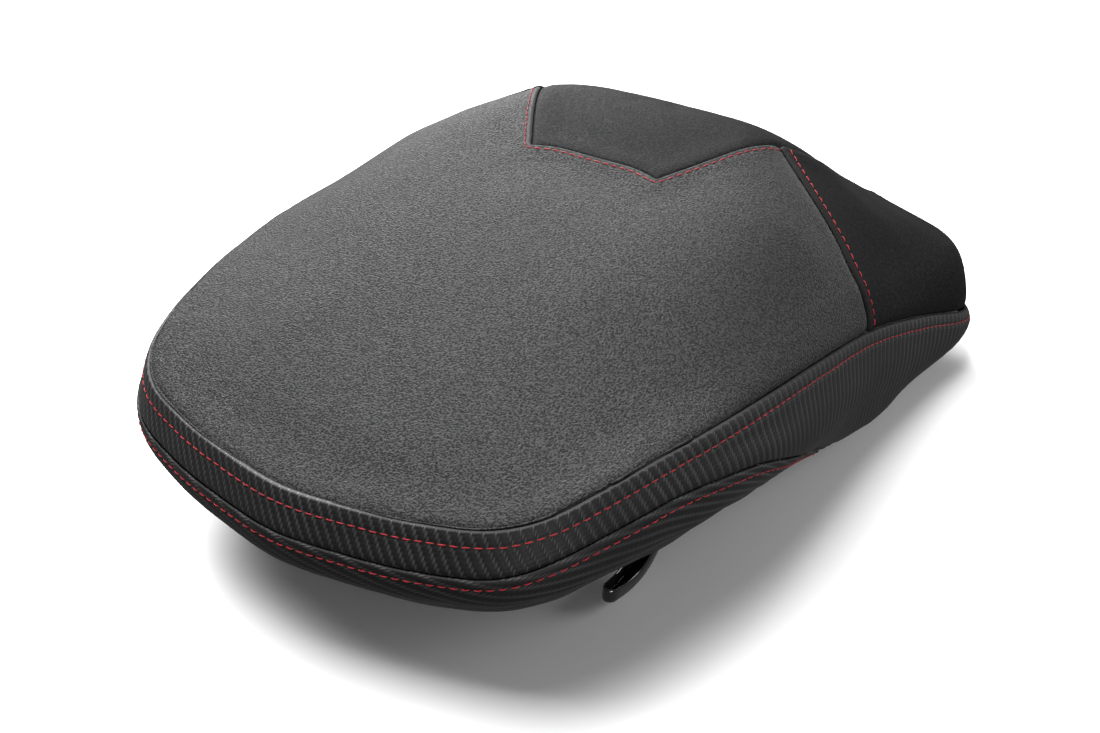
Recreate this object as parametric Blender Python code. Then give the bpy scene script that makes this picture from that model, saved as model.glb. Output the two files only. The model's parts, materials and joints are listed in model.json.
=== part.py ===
"""Motorcycle seat: upholstered cover panels over a foam core on a moulded base pan.

Metres. +X is the seat's right side, +Y points towards the raised nose, +Z is up.
The origin is at the middle of the footprint, on the surface that the seat stands on.
The seat is symmetrical about the plane X = 0.
"""
import math

import bmesh
import bpy
from mathutils import Vector
from mathutils.geometry import delaunay_2d_cdt

# ---- driving dimensions -------------------------------------------------------------------

# Top seam, right half, seen from above: rear centre, rear corner, side, front corner, front centre.
OUTLINE = (
    (0.000, -0.2010), (0.036, -0.1970), (0.066, -0.1910), (0.094, -0.1810), (0.111, -0.1650),
    (0.1218, -0.1420), (0.1318, -0.1110), (0.1402, -0.0790), (0.1460, -0.0410), (0.1486, 0.0040),
    (0.1505, 0.0610), (0.1570, 0.1240), (0.1635, 0.1680), (0.1585, 0.1895), (0.1380, 0.1998),
    (0.090, 0.2040), (0.000, 0.2053),
)
# Heights along the length, as (y, z).
SEAM_HEIGHT = (
    (-0.201, 0.086), (-0.151, 0.097), (-0.101, 0.100), (-0.051, 0.098), (0.000, 0.090),
    (0.064, 0.075), (0.124, 0.055), (0.180, 0.034), (0.201, 0.030),
)
CROWN_HEIGHT = (
    (-0.201, 0.086), (-0.151, 0.098), (-0.101, 0.110), (-0.051, 0.121), (0.000, 0.1305),
    (0.044, 0.138), (0.084, 0.1446), (0.110, 0.1462), (0.134, 0.1360), (0.158, 0.1160),
    (0.182, 0.0960), (0.201, 0.0830),
)
TURN_HEIGHT = (
    (-0.201, 0.0320), (-0.194, 0.0345), (-0.184, 0.0385), (-0.170, 0.0410), (-0.115, 0.0405),
    (-0.095, 0.0390), (-0.066, 0.0370), (-0.022, 0.0290), (0.020, 0.0200), (0.064, 0.010),
    (0.104, 0.004), (0.138, 0.005), (0.168, 0.009), (0.201, 0.014),
)
# Drop of the lower seam below the top seam, as (y, drop). It runs out into the hem at the end.
LOWER_SEAM_DROP = (
    (-0.201, 0.0190), (-0.180, 0.0190), (-0.160, 0.0170), (-0.135, 0.0170), (-0.105, 0.0192),
    (-0.065, 0.0268), (-0.037, 0.0370),
    (-0.010, 0.0490), (0.014, 0.0610),
)
# How the crown falls to the side: (y, flat share of the half width, steepness, shoulder height).
SHOULDER = (
    (-0.201, 0.10, 2.6, 0.0015), (-0.080, 0.15, 2.8, 0.0015), (-0.020, 0.38, 2.8, 0.0070),
    (0.036, 0.48, 2.7, 0.0105), (0.064, 0.46, 2.1, 0.0105), (0.104, 0.40, 1.3, 0.0135),
    (0.139, 0.36, 1.2, 0.0225), (0.168, 0.36, 1.2, 0.0330), (0.201, 0.36, 1.2, 0.0435),
)
SHOULDER_SOFTNESS = 0.20
# Width over which the top rolls over into the top seam, as (y, width).
EDGE_ROLL = (
    (-0.201, 0.003), (-0.080, 0.003), (-0.020, 0.007), (0.060, 0.011), (0.110, 0.012),
    (0.165, 0.015), (0.201, 0.018),
)
REAR_CORNER_HALF_WIDTH = 0.118
REAR_CORNER_Y = -0.150
FRONT_CORNER_Y = 0.168

# Side wall from the top seam to the hem: (offset outwards, share of the wall's height).
WALL_PROFILE = ((0.0, 0.0), (0.0054, 0.20), (0.0086, 0.42), (0.0062, 0.66), (-0.0080, 0.92))
# How much of that offset there is along the length, as (y, share).
WALL_BULGE = ((-0.201, 1.0), (-0.100, 1.0), (0.060, 0.75), (0.168, 0.50), (0.201, 0.50))
# Offset near the foot of the wall, added along the length, as (y, offset).
FOOT_SPREAD = (
    (-0.201, 0.0), (-0.060, 0.0), (0.000, 0.0010), (0.030, 0.0045), (0.065, 0.0075),
    (0.090, 0.0055), (0.120, 0.0010), (0.201, 0.0),
)
SECTION_STEPS = 10
HEM_DROP = 0.0010
HEM_START = 0.0112
HEM_END = 0.0205
HOOK_NOTCH_Y = -0.100
HOOK_NOTCH_WIDTH = 0.013
HOOK_NOTCH_RISE = -0.0010
INSET_CORE_X = 0.080
INSET_CORE_Y = (-0.120, 0.130)

# Seams of the nose panel and the wing panels, right half, seen from above.
NOSE_INNER = (0.0377, 0.0397)
NOSE_MIDDLE = (0.0, 0.0436)
NOSE_BOW = (0.0555, 0.0687)
NOSE_OUTER = (0.0740, 0.1035)
NOSE_FRONT = ((0.0830, 0.1340), (0.0920, 0.1680))
NOSE_FOOT_X = 0.0980
WING_SEAM = ((0.0927, 0.0893), (0.1097, 0.0775), (0.1240, 0.0695), (0.1368, 0.0625))
WING_SEAM_END_Y = 0.0600

COVER_THICKNESS = 0.0014
GAP = 0.0003
STATIONS = 96
TOP_SPACING = 0.0165
BAND_ROWS = 5
HEM_ROWS = 4
TURN_SHARE = 0.72

PAN_THICKNESS = 0.003
PAN_WALL_INSET = 0.020
PAN_LIP_INSET = 0.0150
PAN_LIP_RISE = 0.0020
PLATE_MID_HEIGHT = 0.0480
PLATE_SLOPE = -0.028
RIB_DEPTH = 0.008
CROSS_RIB_DEPTH = 0.0068
RIB_THICKNESS = 0.0025
LONG_RIB_ROOT = 0.0010
CROSS_RIB_ROOT = 0.0015
# Lengthwise ribs, as (x, rear end, front end).
LONG_RIBS = ((-0.060, -0.150, 0.158), (0.0, -0.150, 0.050), (0.060, -0.150, 0.158))
# Cross ribs, as (y, half length).
CROSS_RIBS = (
    (-0.150, 0.080), (-0.055, 0.078), (0.000, 0.100), (0.050, 0.105), (0.108, 0.108), (0.158, 0.108),
)

BUMPER_POSITIONS = ((0.066, -0.094), (0.092, 0.132))
BUMPER_RADIUS = 0.0125
BUMPER_HEIGHT = 0.020
BUMPER_CHAMFER = 0.002
BUMPER_GROOVE = 0.0025
BOSS_RADIUS = 0.0105

HOOK_X = 0.104
HOOK_WIDTH = 0.014
HOOK_STRAP = 0.0035
HOOK_FLANGE = 0.0030
HOOK_BASE_LENGTH = 0.046
HOOK_BASE_WIDTH = 0.020
HOOK_BASE_Y = -0.066
HOOK_BASE_THICKNESS = 0.005
HOOK_ROOT_DEPTH = 0.004
HOOK_RAIL_RISE = 0.0035
# The hook's strap below its root, down and back to the lifted tip, as (y, z).
HOOK_SWEEP = ((-0.063, 0.030), (-0.070, 0.0165), (-0.081, 0.0068), (-0.095, 0.0040), (-0.112, 0.0072))
HOOK_ROOT_Y = -0.060
# Screw positions behind and ahead of the middle of the hook's base.
HOOK_SCREWS = (("rear", -0.017), ("front", 0.014))

STRIKER_Y = 0.080
STRIKER_PLATE = (0.074, 0.040, 0.003)
STRIKER_SPAN = 0.034
STRIKER_WIRE = 0.0035
STRIKER_BOTTOM = 0.0025
STRIKER_BEND = 0.009
BEND_STEPS = 6
NUT_RADIUS = 0.0065
NUT_HEIGHT = 0.005
NUT_DROP = 0.0018
NUT_BORE_SIDES = 12
SCREW_HEAD_RADIUS = 0.0045
SCREW_HEAD_HEIGHT = 0.0026
PLATE_SCREW_X = 0.031

MATERIALS = {
    "suede_vinyl": ((0.060, 0.060, 0.062), 0.85, 0.0),
    "smooth_vinyl": ((0.035, 0.035, 0.037), 0.70, 0.0),
    "carbon_vinyl": ((0.022, 0.022, 0.024), 0.45, 0.0),
    "foam": ((0.40, 0.39, 0.36), 0.95, 0.0),
    "pan_plastic": ((0.020, 0.020, 0.021), 0.55, 0.0),
    "hook_plastic": ((0.010, 0.010, 0.011), 0.18, 0.0),
    "rubber": ((0.018, 0.018, 0.018), 0.80, 0.0),
    "zinc_steel": ((0.55, 0.55, 0.56), 0.35, 1.0),
    "black_screw": ((0.030, 0.030, 0.032), 0.40, 1.0),
}


# ---- curves and tables --------------------------------------------------------------------

def catmull(p0, p1, p2, p3, t):
    """One point of a Catmull-Rom spline between p1 and p2."""
    t2 = t * t
    t3 = t2 * t
    weights = (-0.5 * t3 + t2 - 0.5 * t, 1.5 * t3 - 2.5 * t2 + 1.0,
               -1.5 * t3 + 2.0 * t2 + 0.5 * t, 0.5 * t3 - 0.5 * t2)
    return tuple(sum(w * p[k] for w, p in zip(weights, (p0, p1, p2, p3))) for k in range(len(p0)))


def spline(points, steps):
    """Points along a smooth curve through the given points, both ends included."""
    first = tuple(2 * a - b for a, b in zip(points[0], points[1]))
    last = tuple(2 * a - b for a, b in zip(points[-1], points[-2]))
    ext = [first, *points, last]
    out = []
    for i in range(1, len(ext) - 2):
        for k in range(steps):
            out.append(catmull(ext[i - 1], ext[i], ext[i + 1], ext[i + 2], k / steps))
    out.append(tuple(points[-1]))
    return out


def table(rows, y, column=1):
    """Smooth value of a table's column at y, held constant past both ends."""
    if y <= rows[0][0]:
        return rows[0][column]
    if y >= rows[-1][0]:
        return rows[-1][column]
    i = 0
    while rows[i + 1][0] < y:
        i += 1
    slopes = []
    for j in (i, i + 1):
        a = max(j - 1, 0)
        b = min(j + 1, len(rows) - 1)
        slopes.append((rows[b][column] - rows[a][column]) / (rows[b][0] - rows[a][0]))
    span = rows[i + 1][0] - rows[i][0]
    t = (y - rows[i][0]) / span
    h00 = (1 + 2 * t) * (1 - t) ** 2
    h10 = t * (1 - t) ** 2
    h01 = t * t * (3 - 2 * t)
    h11 = t * t * (t - 1)
    return (h00 * rows[i][column] + h10 * span * slopes[0]
            + h01 * rows[i + 1][column] + h11 * span * slopes[1])


def full_outline():
    """The whole top seam seen from above, counter-clockwise from the rear centre."""
    before, after = ((-x, y) for x, y in (OUTLINE[1], OUTLINE[-2]))
    right = spline((before, *OUTLINE, after), 24)[24:-24]
    left = [(-x, y) for x, y in reversed(right[1:-1])]
    return right + left


def resample(loop, count):
    """Evenly spaced points on a closed loop, starting at its first point."""
    closed = loop + [loop[0]]
    lengths = [0.0]
    for a, b in zip(closed, closed[1:]):
        lengths.append(lengths[-1] + math.dist(a, b))
    out = []
    i = 0
    for k in range(count):
        want = lengths[-1] * k / count
        while lengths[i + 1] < want:
            i += 1
        t = (want - lengths[i]) / (lengths[i + 1] - lengths[i])
        a, b = closed[i], closed[i + 1]
        out.append((a[0] + (b[0] - a[0]) * t, a[1] + (b[1] - a[1]) * t))
    return out


DENSE_OUTLINE = full_outline()
STATION_POINTS = resample(DENSE_OUTLINE, STATIONS)
OUTLINE_ANGLES = [(math.atan2(y, x), x, y) for x, y in DENSE_OUTLINE]
OUTLINE_ANGLES.sort()


def rim_point(angle):
    """Where the ray from the origin at this angle crosses the top seam, from above."""
    rows = OUTLINE_ANGLES
    low, high = 0, len(rows) - 1
    if angle <= rows[0][0] or angle >= rows[-1][0]:
        a, b = rows[-1], rows[0]
        gap = b[0] + 2 * math.pi - a[0]
        t = ((angle - a[0]) % (2 * math.pi)) / gap
    else:
        while high - low > 1:
            mid = (low + high) // 2
            if rows[mid][0] <= angle:
                low = mid
            else:
                high = mid
        a, b = rows[low], rows[high]
        t = (angle - a[0]) / (b[0] - a[0])
    return a[1] + (b[1] - a[1]) * t, a[2] + (b[2] - a[2]) * t


def half_width(y):
    """Half width of the top seam at y, held constant past the corners."""
    if y < REAR_CORNER_Y:
        return REAR_CORNER_HALF_WIDTH
    y = min(y, FRONT_CORNER_Y)
    side = [(p[1], p[0]) for p in OUTLINE[4:13]]
    return table(side, y)


# ---- the seat's outer surface -------------------------------------------------------------

def soft_ramp(t):
    return 0.5 * (t + math.sqrt(t * t + SHOULDER_SOFTNESS ** 2))


def crown(x, y):
    """Height of the top before it rolls over at its edge."""
    flat = table(SHOULDER, y, 1)
    power = table(SHOULDER, y, 2)
    shoulder = table(SHOULDER, y, 3)
    start = soft_ramp(-flat / (1 - flat))
    ramp = soft_ramp((abs(x) / half_width(y) - flat) / (1 - flat)) - start
    share = max(ramp / (soft_ramp(1.0) - start), 0.0) ** power
    top = table(CROWN_HEIGHT, y)
    return top - (top - table(SEAM_HEIGHT, y) - shoulder) * share


def top_point(u, v):
    """Top surface over the flattened plan (u, v), in which the rolled edge is laid out flat."""
    radius = math.hypot(u, v)
    if radius < 1e-9:
        return Vector((0.0, 0.0, crown(0.0, 0.0)))
    rx, ry = rim_point(math.atan2(v, u))
    rim = math.hypot(rx, ry)
    roll = table(EDGE_ROLL, ry)
    arc = (rim + (math.pi / 2 - 1) * roll - radius) / roll
    if arc >= math.pi / 2:
        return Vector((u, v, crown(u, v)))
    arc = max(arc, 0.0)
    plan = rim - roll * (1 - math.cos(arc))
    x = u / radius * plan
    y = v / radius * plan
    rise = math.sin(arc)
    return Vector((x, y, table(SEAM_HEIGHT, ry) * (1 - rise) + crown(x, y) * rise))


def flattened_rim(point):
    """The flattened-plan position of a point on the top seam."""
    radius = math.hypot(*point)
    scale = 1 + (math.pi / 2 - 1) * table(EDGE_ROLL, point[1]) / radius
    return point[0] * scale, point[1] * scale


def top_normal(u, v):
    step = 0.0015
    radius = math.hypot(u, v)
    pull = 1.0 if radius < step else (radius - step) / radius
    u, v = u * pull, v * pull
    du = top_point(u + step, v) - top_point(u - step, v)
    dv = top_point(u, v + step) - top_point(u, v - step)
    return du.cross(dv).normalized()


def inward(point):
    """Unit direction from the seam towards the middle of the seat, from above."""
    qx = max(-INSET_CORE_X, min(INSET_CORE_X, point[0]))
    qy = max(INSET_CORE_Y[0], min(INSET_CORE_Y[1], point[1]))
    d = Vector((qx - point[0], qy - point[1]))
    return d.normalized()


def turn_height(point):
    notch = math.exp(-((point[1] - HOOK_NOTCH_Y) / HOOK_NOTCH_WIDTH) ** 2)
    if abs(point[0]) < 0.08:
        notch = 0.0
    return table(TURN_HEIGHT, point[1]) + HOOK_NOTCH_RISE * notch


def wall_polyline(point):
    """The wall's section at a seam point, from the top seam down and round to the hem's end."""
    top = table(SEAM_HEIGHT, point[1])
    turn = turn_height(point)
    d = inward(point)
    bulge = table(WALL_BULGE, point[1])
    section = [(offset * bulge, top - share * (top - turn)) for offset, share in WALL_PROFILE]
    section[-1] = (section[-1][0] + table(FOOT_SPREAD, point[1]), section[-1][1])
    section.append((-HEM_START, turn - HEM_DROP))
    section.append((-HEM_END, turn - HEM_DROP))
    out = []
    for offset, z in spline(section, SECTION_STEPS):
        out.append(Vector((point[0] - d.x * offset, point[1] - d.y * offset, z)))
    return out


def polyline_point(line, share):
    """Point at a share of a polyline's length."""
    lengths = [0.0]
    for a, b in zip(line, line[1:]):
        lengths.append(lengths[-1] + (b - a).length)
    want = max(0.0, min(1.0, share)) * lengths[-1]
    i = 0
    while i < len(line) - 2 and lengths[i + 1] < want:
        i += 1
    t = (want - lengths[i]) / (lengths[i + 1] - lengths[i])
    return line[i].lerp(line[i + 1], t)


def lower_seam_share(point, line):
    """Where the lower seam lies on the wall's section, as a share of its length."""
    level = table(SEAM_HEIGHT, point[1]) - table(LOWER_SEAM_DROP, point[1])
    if point[1] > LOWER_SEAM_DROP[-1][0]:
        return TURN_SHARE
    length = 0.0
    total = sum((b - a).length for a, b in zip(line, line[1:]))
    for a, b in zip(line, line[1:]):
        if b.z <= level:
            crossing = (length + (b - a).length * (a.z - level) / max(a.z - b.z, 1e-9)) / total
            return min(crossing, TURN_SHARE)
        length += (b - a).length
    return TURN_SHARE


def wall_shares(point, line):
    """Shares of the wall's rows: even to the lower seam, even on to the bend, then the hem's end."""
    split = lower_seam_share(point, line)
    lengths = [(b - a).length for a, b in zip(line, line[1:])]
    bend = sum(lengths[:SECTION_STEPS * len(WALL_PROFILE)]) / sum(lengths)
    upper = [split * j / BAND_ROWS for j in range(BAND_ROWS)]
    lower = [split + (bend - split) * j / (HEM_ROWS - 1) for j in range(HEM_ROWS)]
    return upper + lower + [1.0]


def wall_normal(point, share):
    """Outward normal of the wall at a share of its section's length."""
    angle = math.atan2(point[1], point[0])
    ahead = rim_point(angle + 0.01)
    behind = rim_point(angle - 0.01)
    along = (polyline_point(wall_polyline(ahead), share)
             - polyline_point(wall_polyline(behind), share))
    line = wall_polyline(point)
    down = (polyline_point(line, min(share + 0.02, 1.0))
            - polyline_point(line, max(share - 0.02, 0.0)))
    return down.cross(along).normalized()


# ---- helpers that make objects ------------------------------------------------------------

def material(name):
    existing = bpy.data.materials.get(name)
    if existing:
        return existing
    colour, roughness, metallic = MATERIALS[name]
    made = bpy.data.materials.new(name)
    made.use_nodes = True
    shader = made.node_tree.nodes["Principled BSDF"]
    shader.inputs["Base Color"].default_value = (*colour, 1.0)
    shader.inputs["Roughness"].default_value = roughness
    shader.inputs["Metallic"].default_value = metallic
    made.diffuse_color = (*colour, 1.0)
    return made


def add_object(name, mesh, material_name):
    obj = bpy.data.objects.new(name, mesh)
    bpy.context.scene.collection.objects.link(obj)
    mesh.materials.clear()
    mesh.materials.append(material(material_name))
    return obj


def mesh_from(name, verts, faces, smooth_angle=40):
    """A mesh whose faces point out of its one closed body."""
    bm = bmesh.new()
    made = [bm.verts.new(v) for v in verts]
    for face in faces:
        bm.faces.new([made[i] for i in face])
    return finished(name, bm, smooth_angle)


def finished(name, bm, smooth_angle):
    """The mesh of a filled bmesh, facing outwards and smooth except at its sharp edges."""
    mesh = bpy.data.meshes.new(name)
    bmesh.ops.recalc_face_normals(bm, faces=bm.faces)
    bm.to_mesh(mesh)
    bm.free()
    mesh.shade_smooth()
    mesh.set_sharp_from_angle(angle=math.radians(smooth_angle))
    return mesh


def join_by_boolean(obj, tool, operation):
    """Adds or cuts one body with another, which stays behind as a hidden guide."""
    tool.hide_render = True
    tool.display_type = "WIRE"
    modifier = obj.modifiers.new(tool.name, "BOOLEAN")
    modifier.operation = operation
    modifier.object = tool
    modifier.solver = "EXACT"


# ---- cover panels and foam ----------------------------------------------------------------

def nose_seam_right():
    """Right half of the nose panel's seam, from its middle to the corner beside the crest."""
    inner = spline((NOSE_MIDDLE, NOSE_INNER), 3)
    outer = spline((NOSE_INNER, NOSE_BOW, NOSE_OUTER), 3)
    return inner + outer[1:]


def station_near(test):
    return min(range(STATIONS), key=lambda k: test(STATION_POINTS[k]))


def top_layout():
    """Flattened-plan triangles of the whole top, with the seams as edges."""
    rim = [Vector(flattened_rim(p)) for p in STATION_POINTS]
    wing_end = station_near(lambda p: abs(p[1] - WING_SEAM_END_Y) + (0 if p[0] > 0 else 1))
    nose_foot = station_near(lambda p: abs(p[0] - NOSE_FOOT_X) + (0 if p[1] > 0.15 else 1))
    nose = nose_seam_right()
    front = spline((NOSE_OUTER, *NOSE_FRONT, tuple(rim[nose_foot])), 3)
    wing = spline((NOSE_OUTER, *WING_SEAM, tuple(rim[wing_end])), 2)
    points = list(rim)
    edges = [(i, (i + 1) % STATIONS) for i in range(STATIONS)]

    def add_line(line, start=None, end=None):
        indices = []
        for k, p in enumerate(line):
            if k == 0 and start is not None:
                indices.append(start)
            elif k == len(line) - 1 and end is not None:
                indices.append(end)
            else:
                points.append(Vector(p))
                indices.append(len(points) - 1)
        edges.extend(zip(indices, indices[1:]))
        return indices

    def mirrored(line):
        return [(-p[0], p[1]) for p in line]

    def other(k):
        return (STATIONS - k) % STATIONS

    right = add_line(nose)
    left = add_line(mirrored(nose), start=right[0])
    corner, corner_left = right[-1], left[-1]
    front_right = add_line(front, start=corner, end=nose_foot)
    front_left = add_line(mirrored(front), start=corner_left, end=other(nose_foot))
    wing_right = add_line(wing, start=corner, end=wing_end)
    wing_left = add_line(mirrored(wing), start=corner_left, end=other(wing_end))

    fixed = list(points)
    row = TOP_SPACING * math.sqrt(3) / 2
    rows = int(0.22 / row) + 1
    columns = int(0.18 / TOP_SPACING) + 1
    for j in range(-rows, rows + 1):
        for i in range(-columns, columns + 1):
            p = Vector(((i + 0.5 * (j % 2)) * TOP_SPACING, j * row))
            edge = Vector(flattened_rim(rim_point(math.atan2(p.y, p.x)))).length
            if p.length > edge - 0.45 * TOP_SPACING:
                continue
            if min((p - q).length for q in fixed) < 0.60 * TOP_SPACING:
                continue
            points.append(p)
    verts, _, faces, *_ = delaunay_2d_cdt(points, edges, [list(range(STATIONS))], 1, 1e-7)

    nose_loop = [points[i] for i in (*reversed(left), *right[1:], *front_right[1:])]
    between = range(nose_foot + 1, other(nose_foot))
    nose_loop += [rim[k] for k in between]
    nose_loop += [points[i] for i in reversed(front_left[1:])]
    wing_loop = [points[i] for i in (*reversed(wing_right), *front_right[1:])]
    wing_loop += [rim[k] for k in range(nose_foot - 1, wing_end, -1)]
    wing_left_loop = [Vector((-p.x, p.y)) for p in wing_loop]
    regions = {"cover_nose_panel": nose_loop, "cover_wing_right": wing_loop,
               "cover_wing_left": wing_left_loop}
    panels = {"cover_top_panel": []}
    for face in faces:
        middle = sum((verts[i] for i in face), Vector((0.0, 0.0))) / len(face)
        name = next((n for n, loop in regions.items() if inside(middle, loop)), "cover_top_panel")
        panels.setdefault(name, []).append(tuple(face))
    return verts, panels


def inside(p, loop):
    hit = False
    for a, b in zip(loop, loop[1:] + loop[:1]):
        if (a.y > p.y) != (b.y > p.y):
            if p.x < a.x + (p.y - a.y) / (b.y - a.y) * (b.x - a.x):
                hit = not hit
    return hit


def rim_mitre(index):
    """Inward offset for one unit of thickness at a station of the top seam."""
    point = STATION_POINTS[index]
    n_top = top_normal(*flattened_rim(point))
    n_wall = wall_normal(point, 0.0)
    both = (n_top + n_wall).normalized()
    return -both / max(both.dot(n_top), 0.5)


def boundary_edges(faces):
    count = {}
    for face in faces:
        for a, b in zip(face, face[1:] + face[:1]):
            count[(a, b)] = True
    return [(a, b) for a, b in count if (b, a) not in count]


def pulled_edges(verts, faces):
    """The verts with the panel's edge drawn in by the gap that a seam keeps."""
    edges = set(boundary_edges(faces))
    pull = {}
    for face in faces:
        for a, b in zip(face, face[1:] + face[:1]):
            if (a, b) in edges:
                c = next(i for i in face if i not in (a, b))
                along = (verts[b] - verts[a]).normalized()
                across = verts[c] - verts[a]
                side = (across - along * across.dot(along)).normalized()
                for i in (a, b):
                    pull[i] = pull.get(i, Vector((0.0, 0.0, 0.0))) + side
    return {i: verts[i] + pull[i].normalized() * GAP if i in pull else verts[i]
            for face in faces for i in face}


def shell(name, verts, offsets, faces, material_name):
    """A sheet of the cover's thickness: outer verts, the same verts offset, and its edge."""
    places = pulled_edges(verts, faces)
    used = sorted(places)
    index = {v: k for k, v in enumerate(used)}
    outer = [places[i] for i in used]
    inner = [places[i] + offsets[i] * COVER_THICKNESS for i in used]
    n = len(used)
    out = [tuple(index[i] for i in face) for face in faces]
    out += [tuple(index[i] + n for i in reversed(face)) for face in faces]
    for a, b in boundary_edges(faces):
        a, b = index[a], index[b]
        out += [(b, a, a + n), (b, a + n, b + n)]
    return add_object(name, mesh_from(name, outer + inner, out), material_name)


def top_surface(layout):
    """Places and inward unit offsets of the top's points; the rim's come first."""
    places = [top_point(p.x, p.y) for p in layout[0]]
    offsets = [rim_mitre(i) if i < STATIONS else -top_normal(p.x, p.y)
               for i, p in enumerate(layout[0])]
    return places, offsets


def make_top_panels(layout, surface):
    finish = {"cover_top_panel": "suede_vinyl", "cover_nose_panel": "smooth_vinyl",
              "cover_wing_left": "smooth_vinyl", "cover_wing_right": "smooth_vinyl"}
    places, offsets = surface
    for name, faces in layout[1].items():
        shell(name, places, offsets, faces, finish[name])


def wall_surface():
    """Places and inward unit offsets of the wall, a column of rows for each station."""
    places = []
    offsets = []
    for k, point in enumerate(STATION_POINTS):
        line = wall_polyline(point)
        for j, share in enumerate(wall_shares(point, line)):
            places.append(polyline_point(line, share))
            offsets.append(rim_mitre(k) if j == 0 else -wall_normal(point, share))
    return places, offsets


def make_walls(surface):
    rows = BAND_ROWS + HEM_ROWS + 1
    has_lower = [lower_seam_share(p, wall_polyline(p)) < TURN_SHARE for p in STATION_POINTS]
    band = []
    lower = []
    for i in range(STATIONS):
        k = (i + 1) % STATIONS
        for j in range(rows - 1):
            a = i * rows + j
            b = k * rows + j
            panel = lower if j >= BAND_ROWS and has_lower[i] and has_lower[k] else band
            panel += [(a, a + 1, b + 1), (a, b + 1, b)]
    shell("cover_side_band", *surface, band, "carbon_vinyl")
    shell("cover_lower_panel", *surface, lower, "carbon_vinyl")


def plate_height(y):
    return PLATE_MID_HEIGHT + PLATE_SLOPE * y


def ring(inset, height):
    out = []
    for point in STATION_POINTS:
        d = inward(point)
        x = point[0] + d.x * inset
        y = point[1] + d.y * inset
        out.append(Vector((x, y, height(point, y))))
    return out


def ringed_body(rings, caps):
    """Verts and faces of a body made of closed rings, capped by the first and last ring."""
    n = STATIONS
    verts = [v for r in rings for v in r]
    faces = []
    for r in range(len(rings) - 1):
        for i in range(n):
            a = r * n + i
            b = r * n + (i + 1) % n
            faces += [(a, a + n, b + n), (a, b + n, b)]
    if "first" in caps:
        faces.append(tuple(range(n)))
    if "last" in caps:
        last = (len(rings) - 1) * n
        faces.append(tuple(last + i for i in range(n)))
    return verts, faces


def make_foam(layout, top, wall):
    faces = [face for part in layout[1].values() for face in part]
    depth = COVER_THICKNESS + 2 * GAP
    verts = [place + offset * depth for place, offset in zip(*top)]
    rows = BAND_ROWS + HEM_ROWS + 1
    inner_wall = [place + offset * depth for place, offset in zip(*wall)]
    rings = [inner_wall[j::rows] for j in range(1, BAND_ROWS)]
    lip_top = PAN_LIP_RISE + PAN_THICKNESS + GAP
    last = []
    for k, point in enumerate(STATION_POINTS):
        column = inner_wall[k * rows:(k + 1) * rows]
        level = turn_height(point) + lip_top
        j = next(j for j in range(1, rows) if column[j].z < level)
        a, b = column[j - 1], column[j]
        last.append(a.lerp(b, (a.z - level) / (a.z - b.z)))
    rings.append(last)
    outer = PAN_WALL_INSET - GAP
    rings.append(ring(outer, lambda p, y: turn_height(p) + lip_top))
    rings.append(ring(outer, lambda p, y: plate_height(y) + GAP))
    base = len(verts)
    verts += [v for r in rings for v in r]
    starts = [0] + [base + r * STATIONS for r in range(len(rings))]
    for a0, b0 in zip(starts, starts[1:]):
        for i in range(STATIONS):
            k = (i + 1) % STATIONS
            faces += [(a0 + i, b0 + i, b0 + k), (a0 + i, b0 + k, a0 + k)]
    faces.append(tuple(starts[-1] + i for i in range(STATIONS)))
    add_object("foam_core", mesh_from("foam_core", verts, faces), "foam")


# ---- base pan and what is fixed to it -----------------------------------------------------

def prism(name, section, low, high):
    """A section of (y, z) points extruded along X between low and high."""
    n = len(section)
    verts = [Vector((x, y, z)) for x in (low, high) for y, z in section]
    faces = [tuple(range(n)), tuple(range(n, 2 * n))]
    for i in range(n):
        k = (i + 1) % n
        faces.append((i, k, k + n, i + n))
    return mesh_from(name, verts, faces)


def turned(name, profile, sides=24, angle=35):
    """A body of revolution about Z from (radius, z) points that start and end on the axis."""
    bm = bmesh.new()
    rings = []
    for radius, z in profile:
        if radius == 0:
            rings.append([bm.verts.new((0, 0, z))])
            continue
        turn = 2 * math.pi / sides
        rings.append([bm.verts.new((radius * math.cos(turn * k), radius * math.sin(turn * k), z))
                      for k in range(sides)])
    for a, b in zip(rings, rings[1:]):
        for k in range(sides):
            j = (k + 1) % sides
            loop = [a[k % len(a)], a[j % len(a)], b[j % len(b)], b[k % len(b)]]
            bm.faces.new(list(dict.fromkeys(loop)))
    return finished(name, bm, angle)


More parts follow.
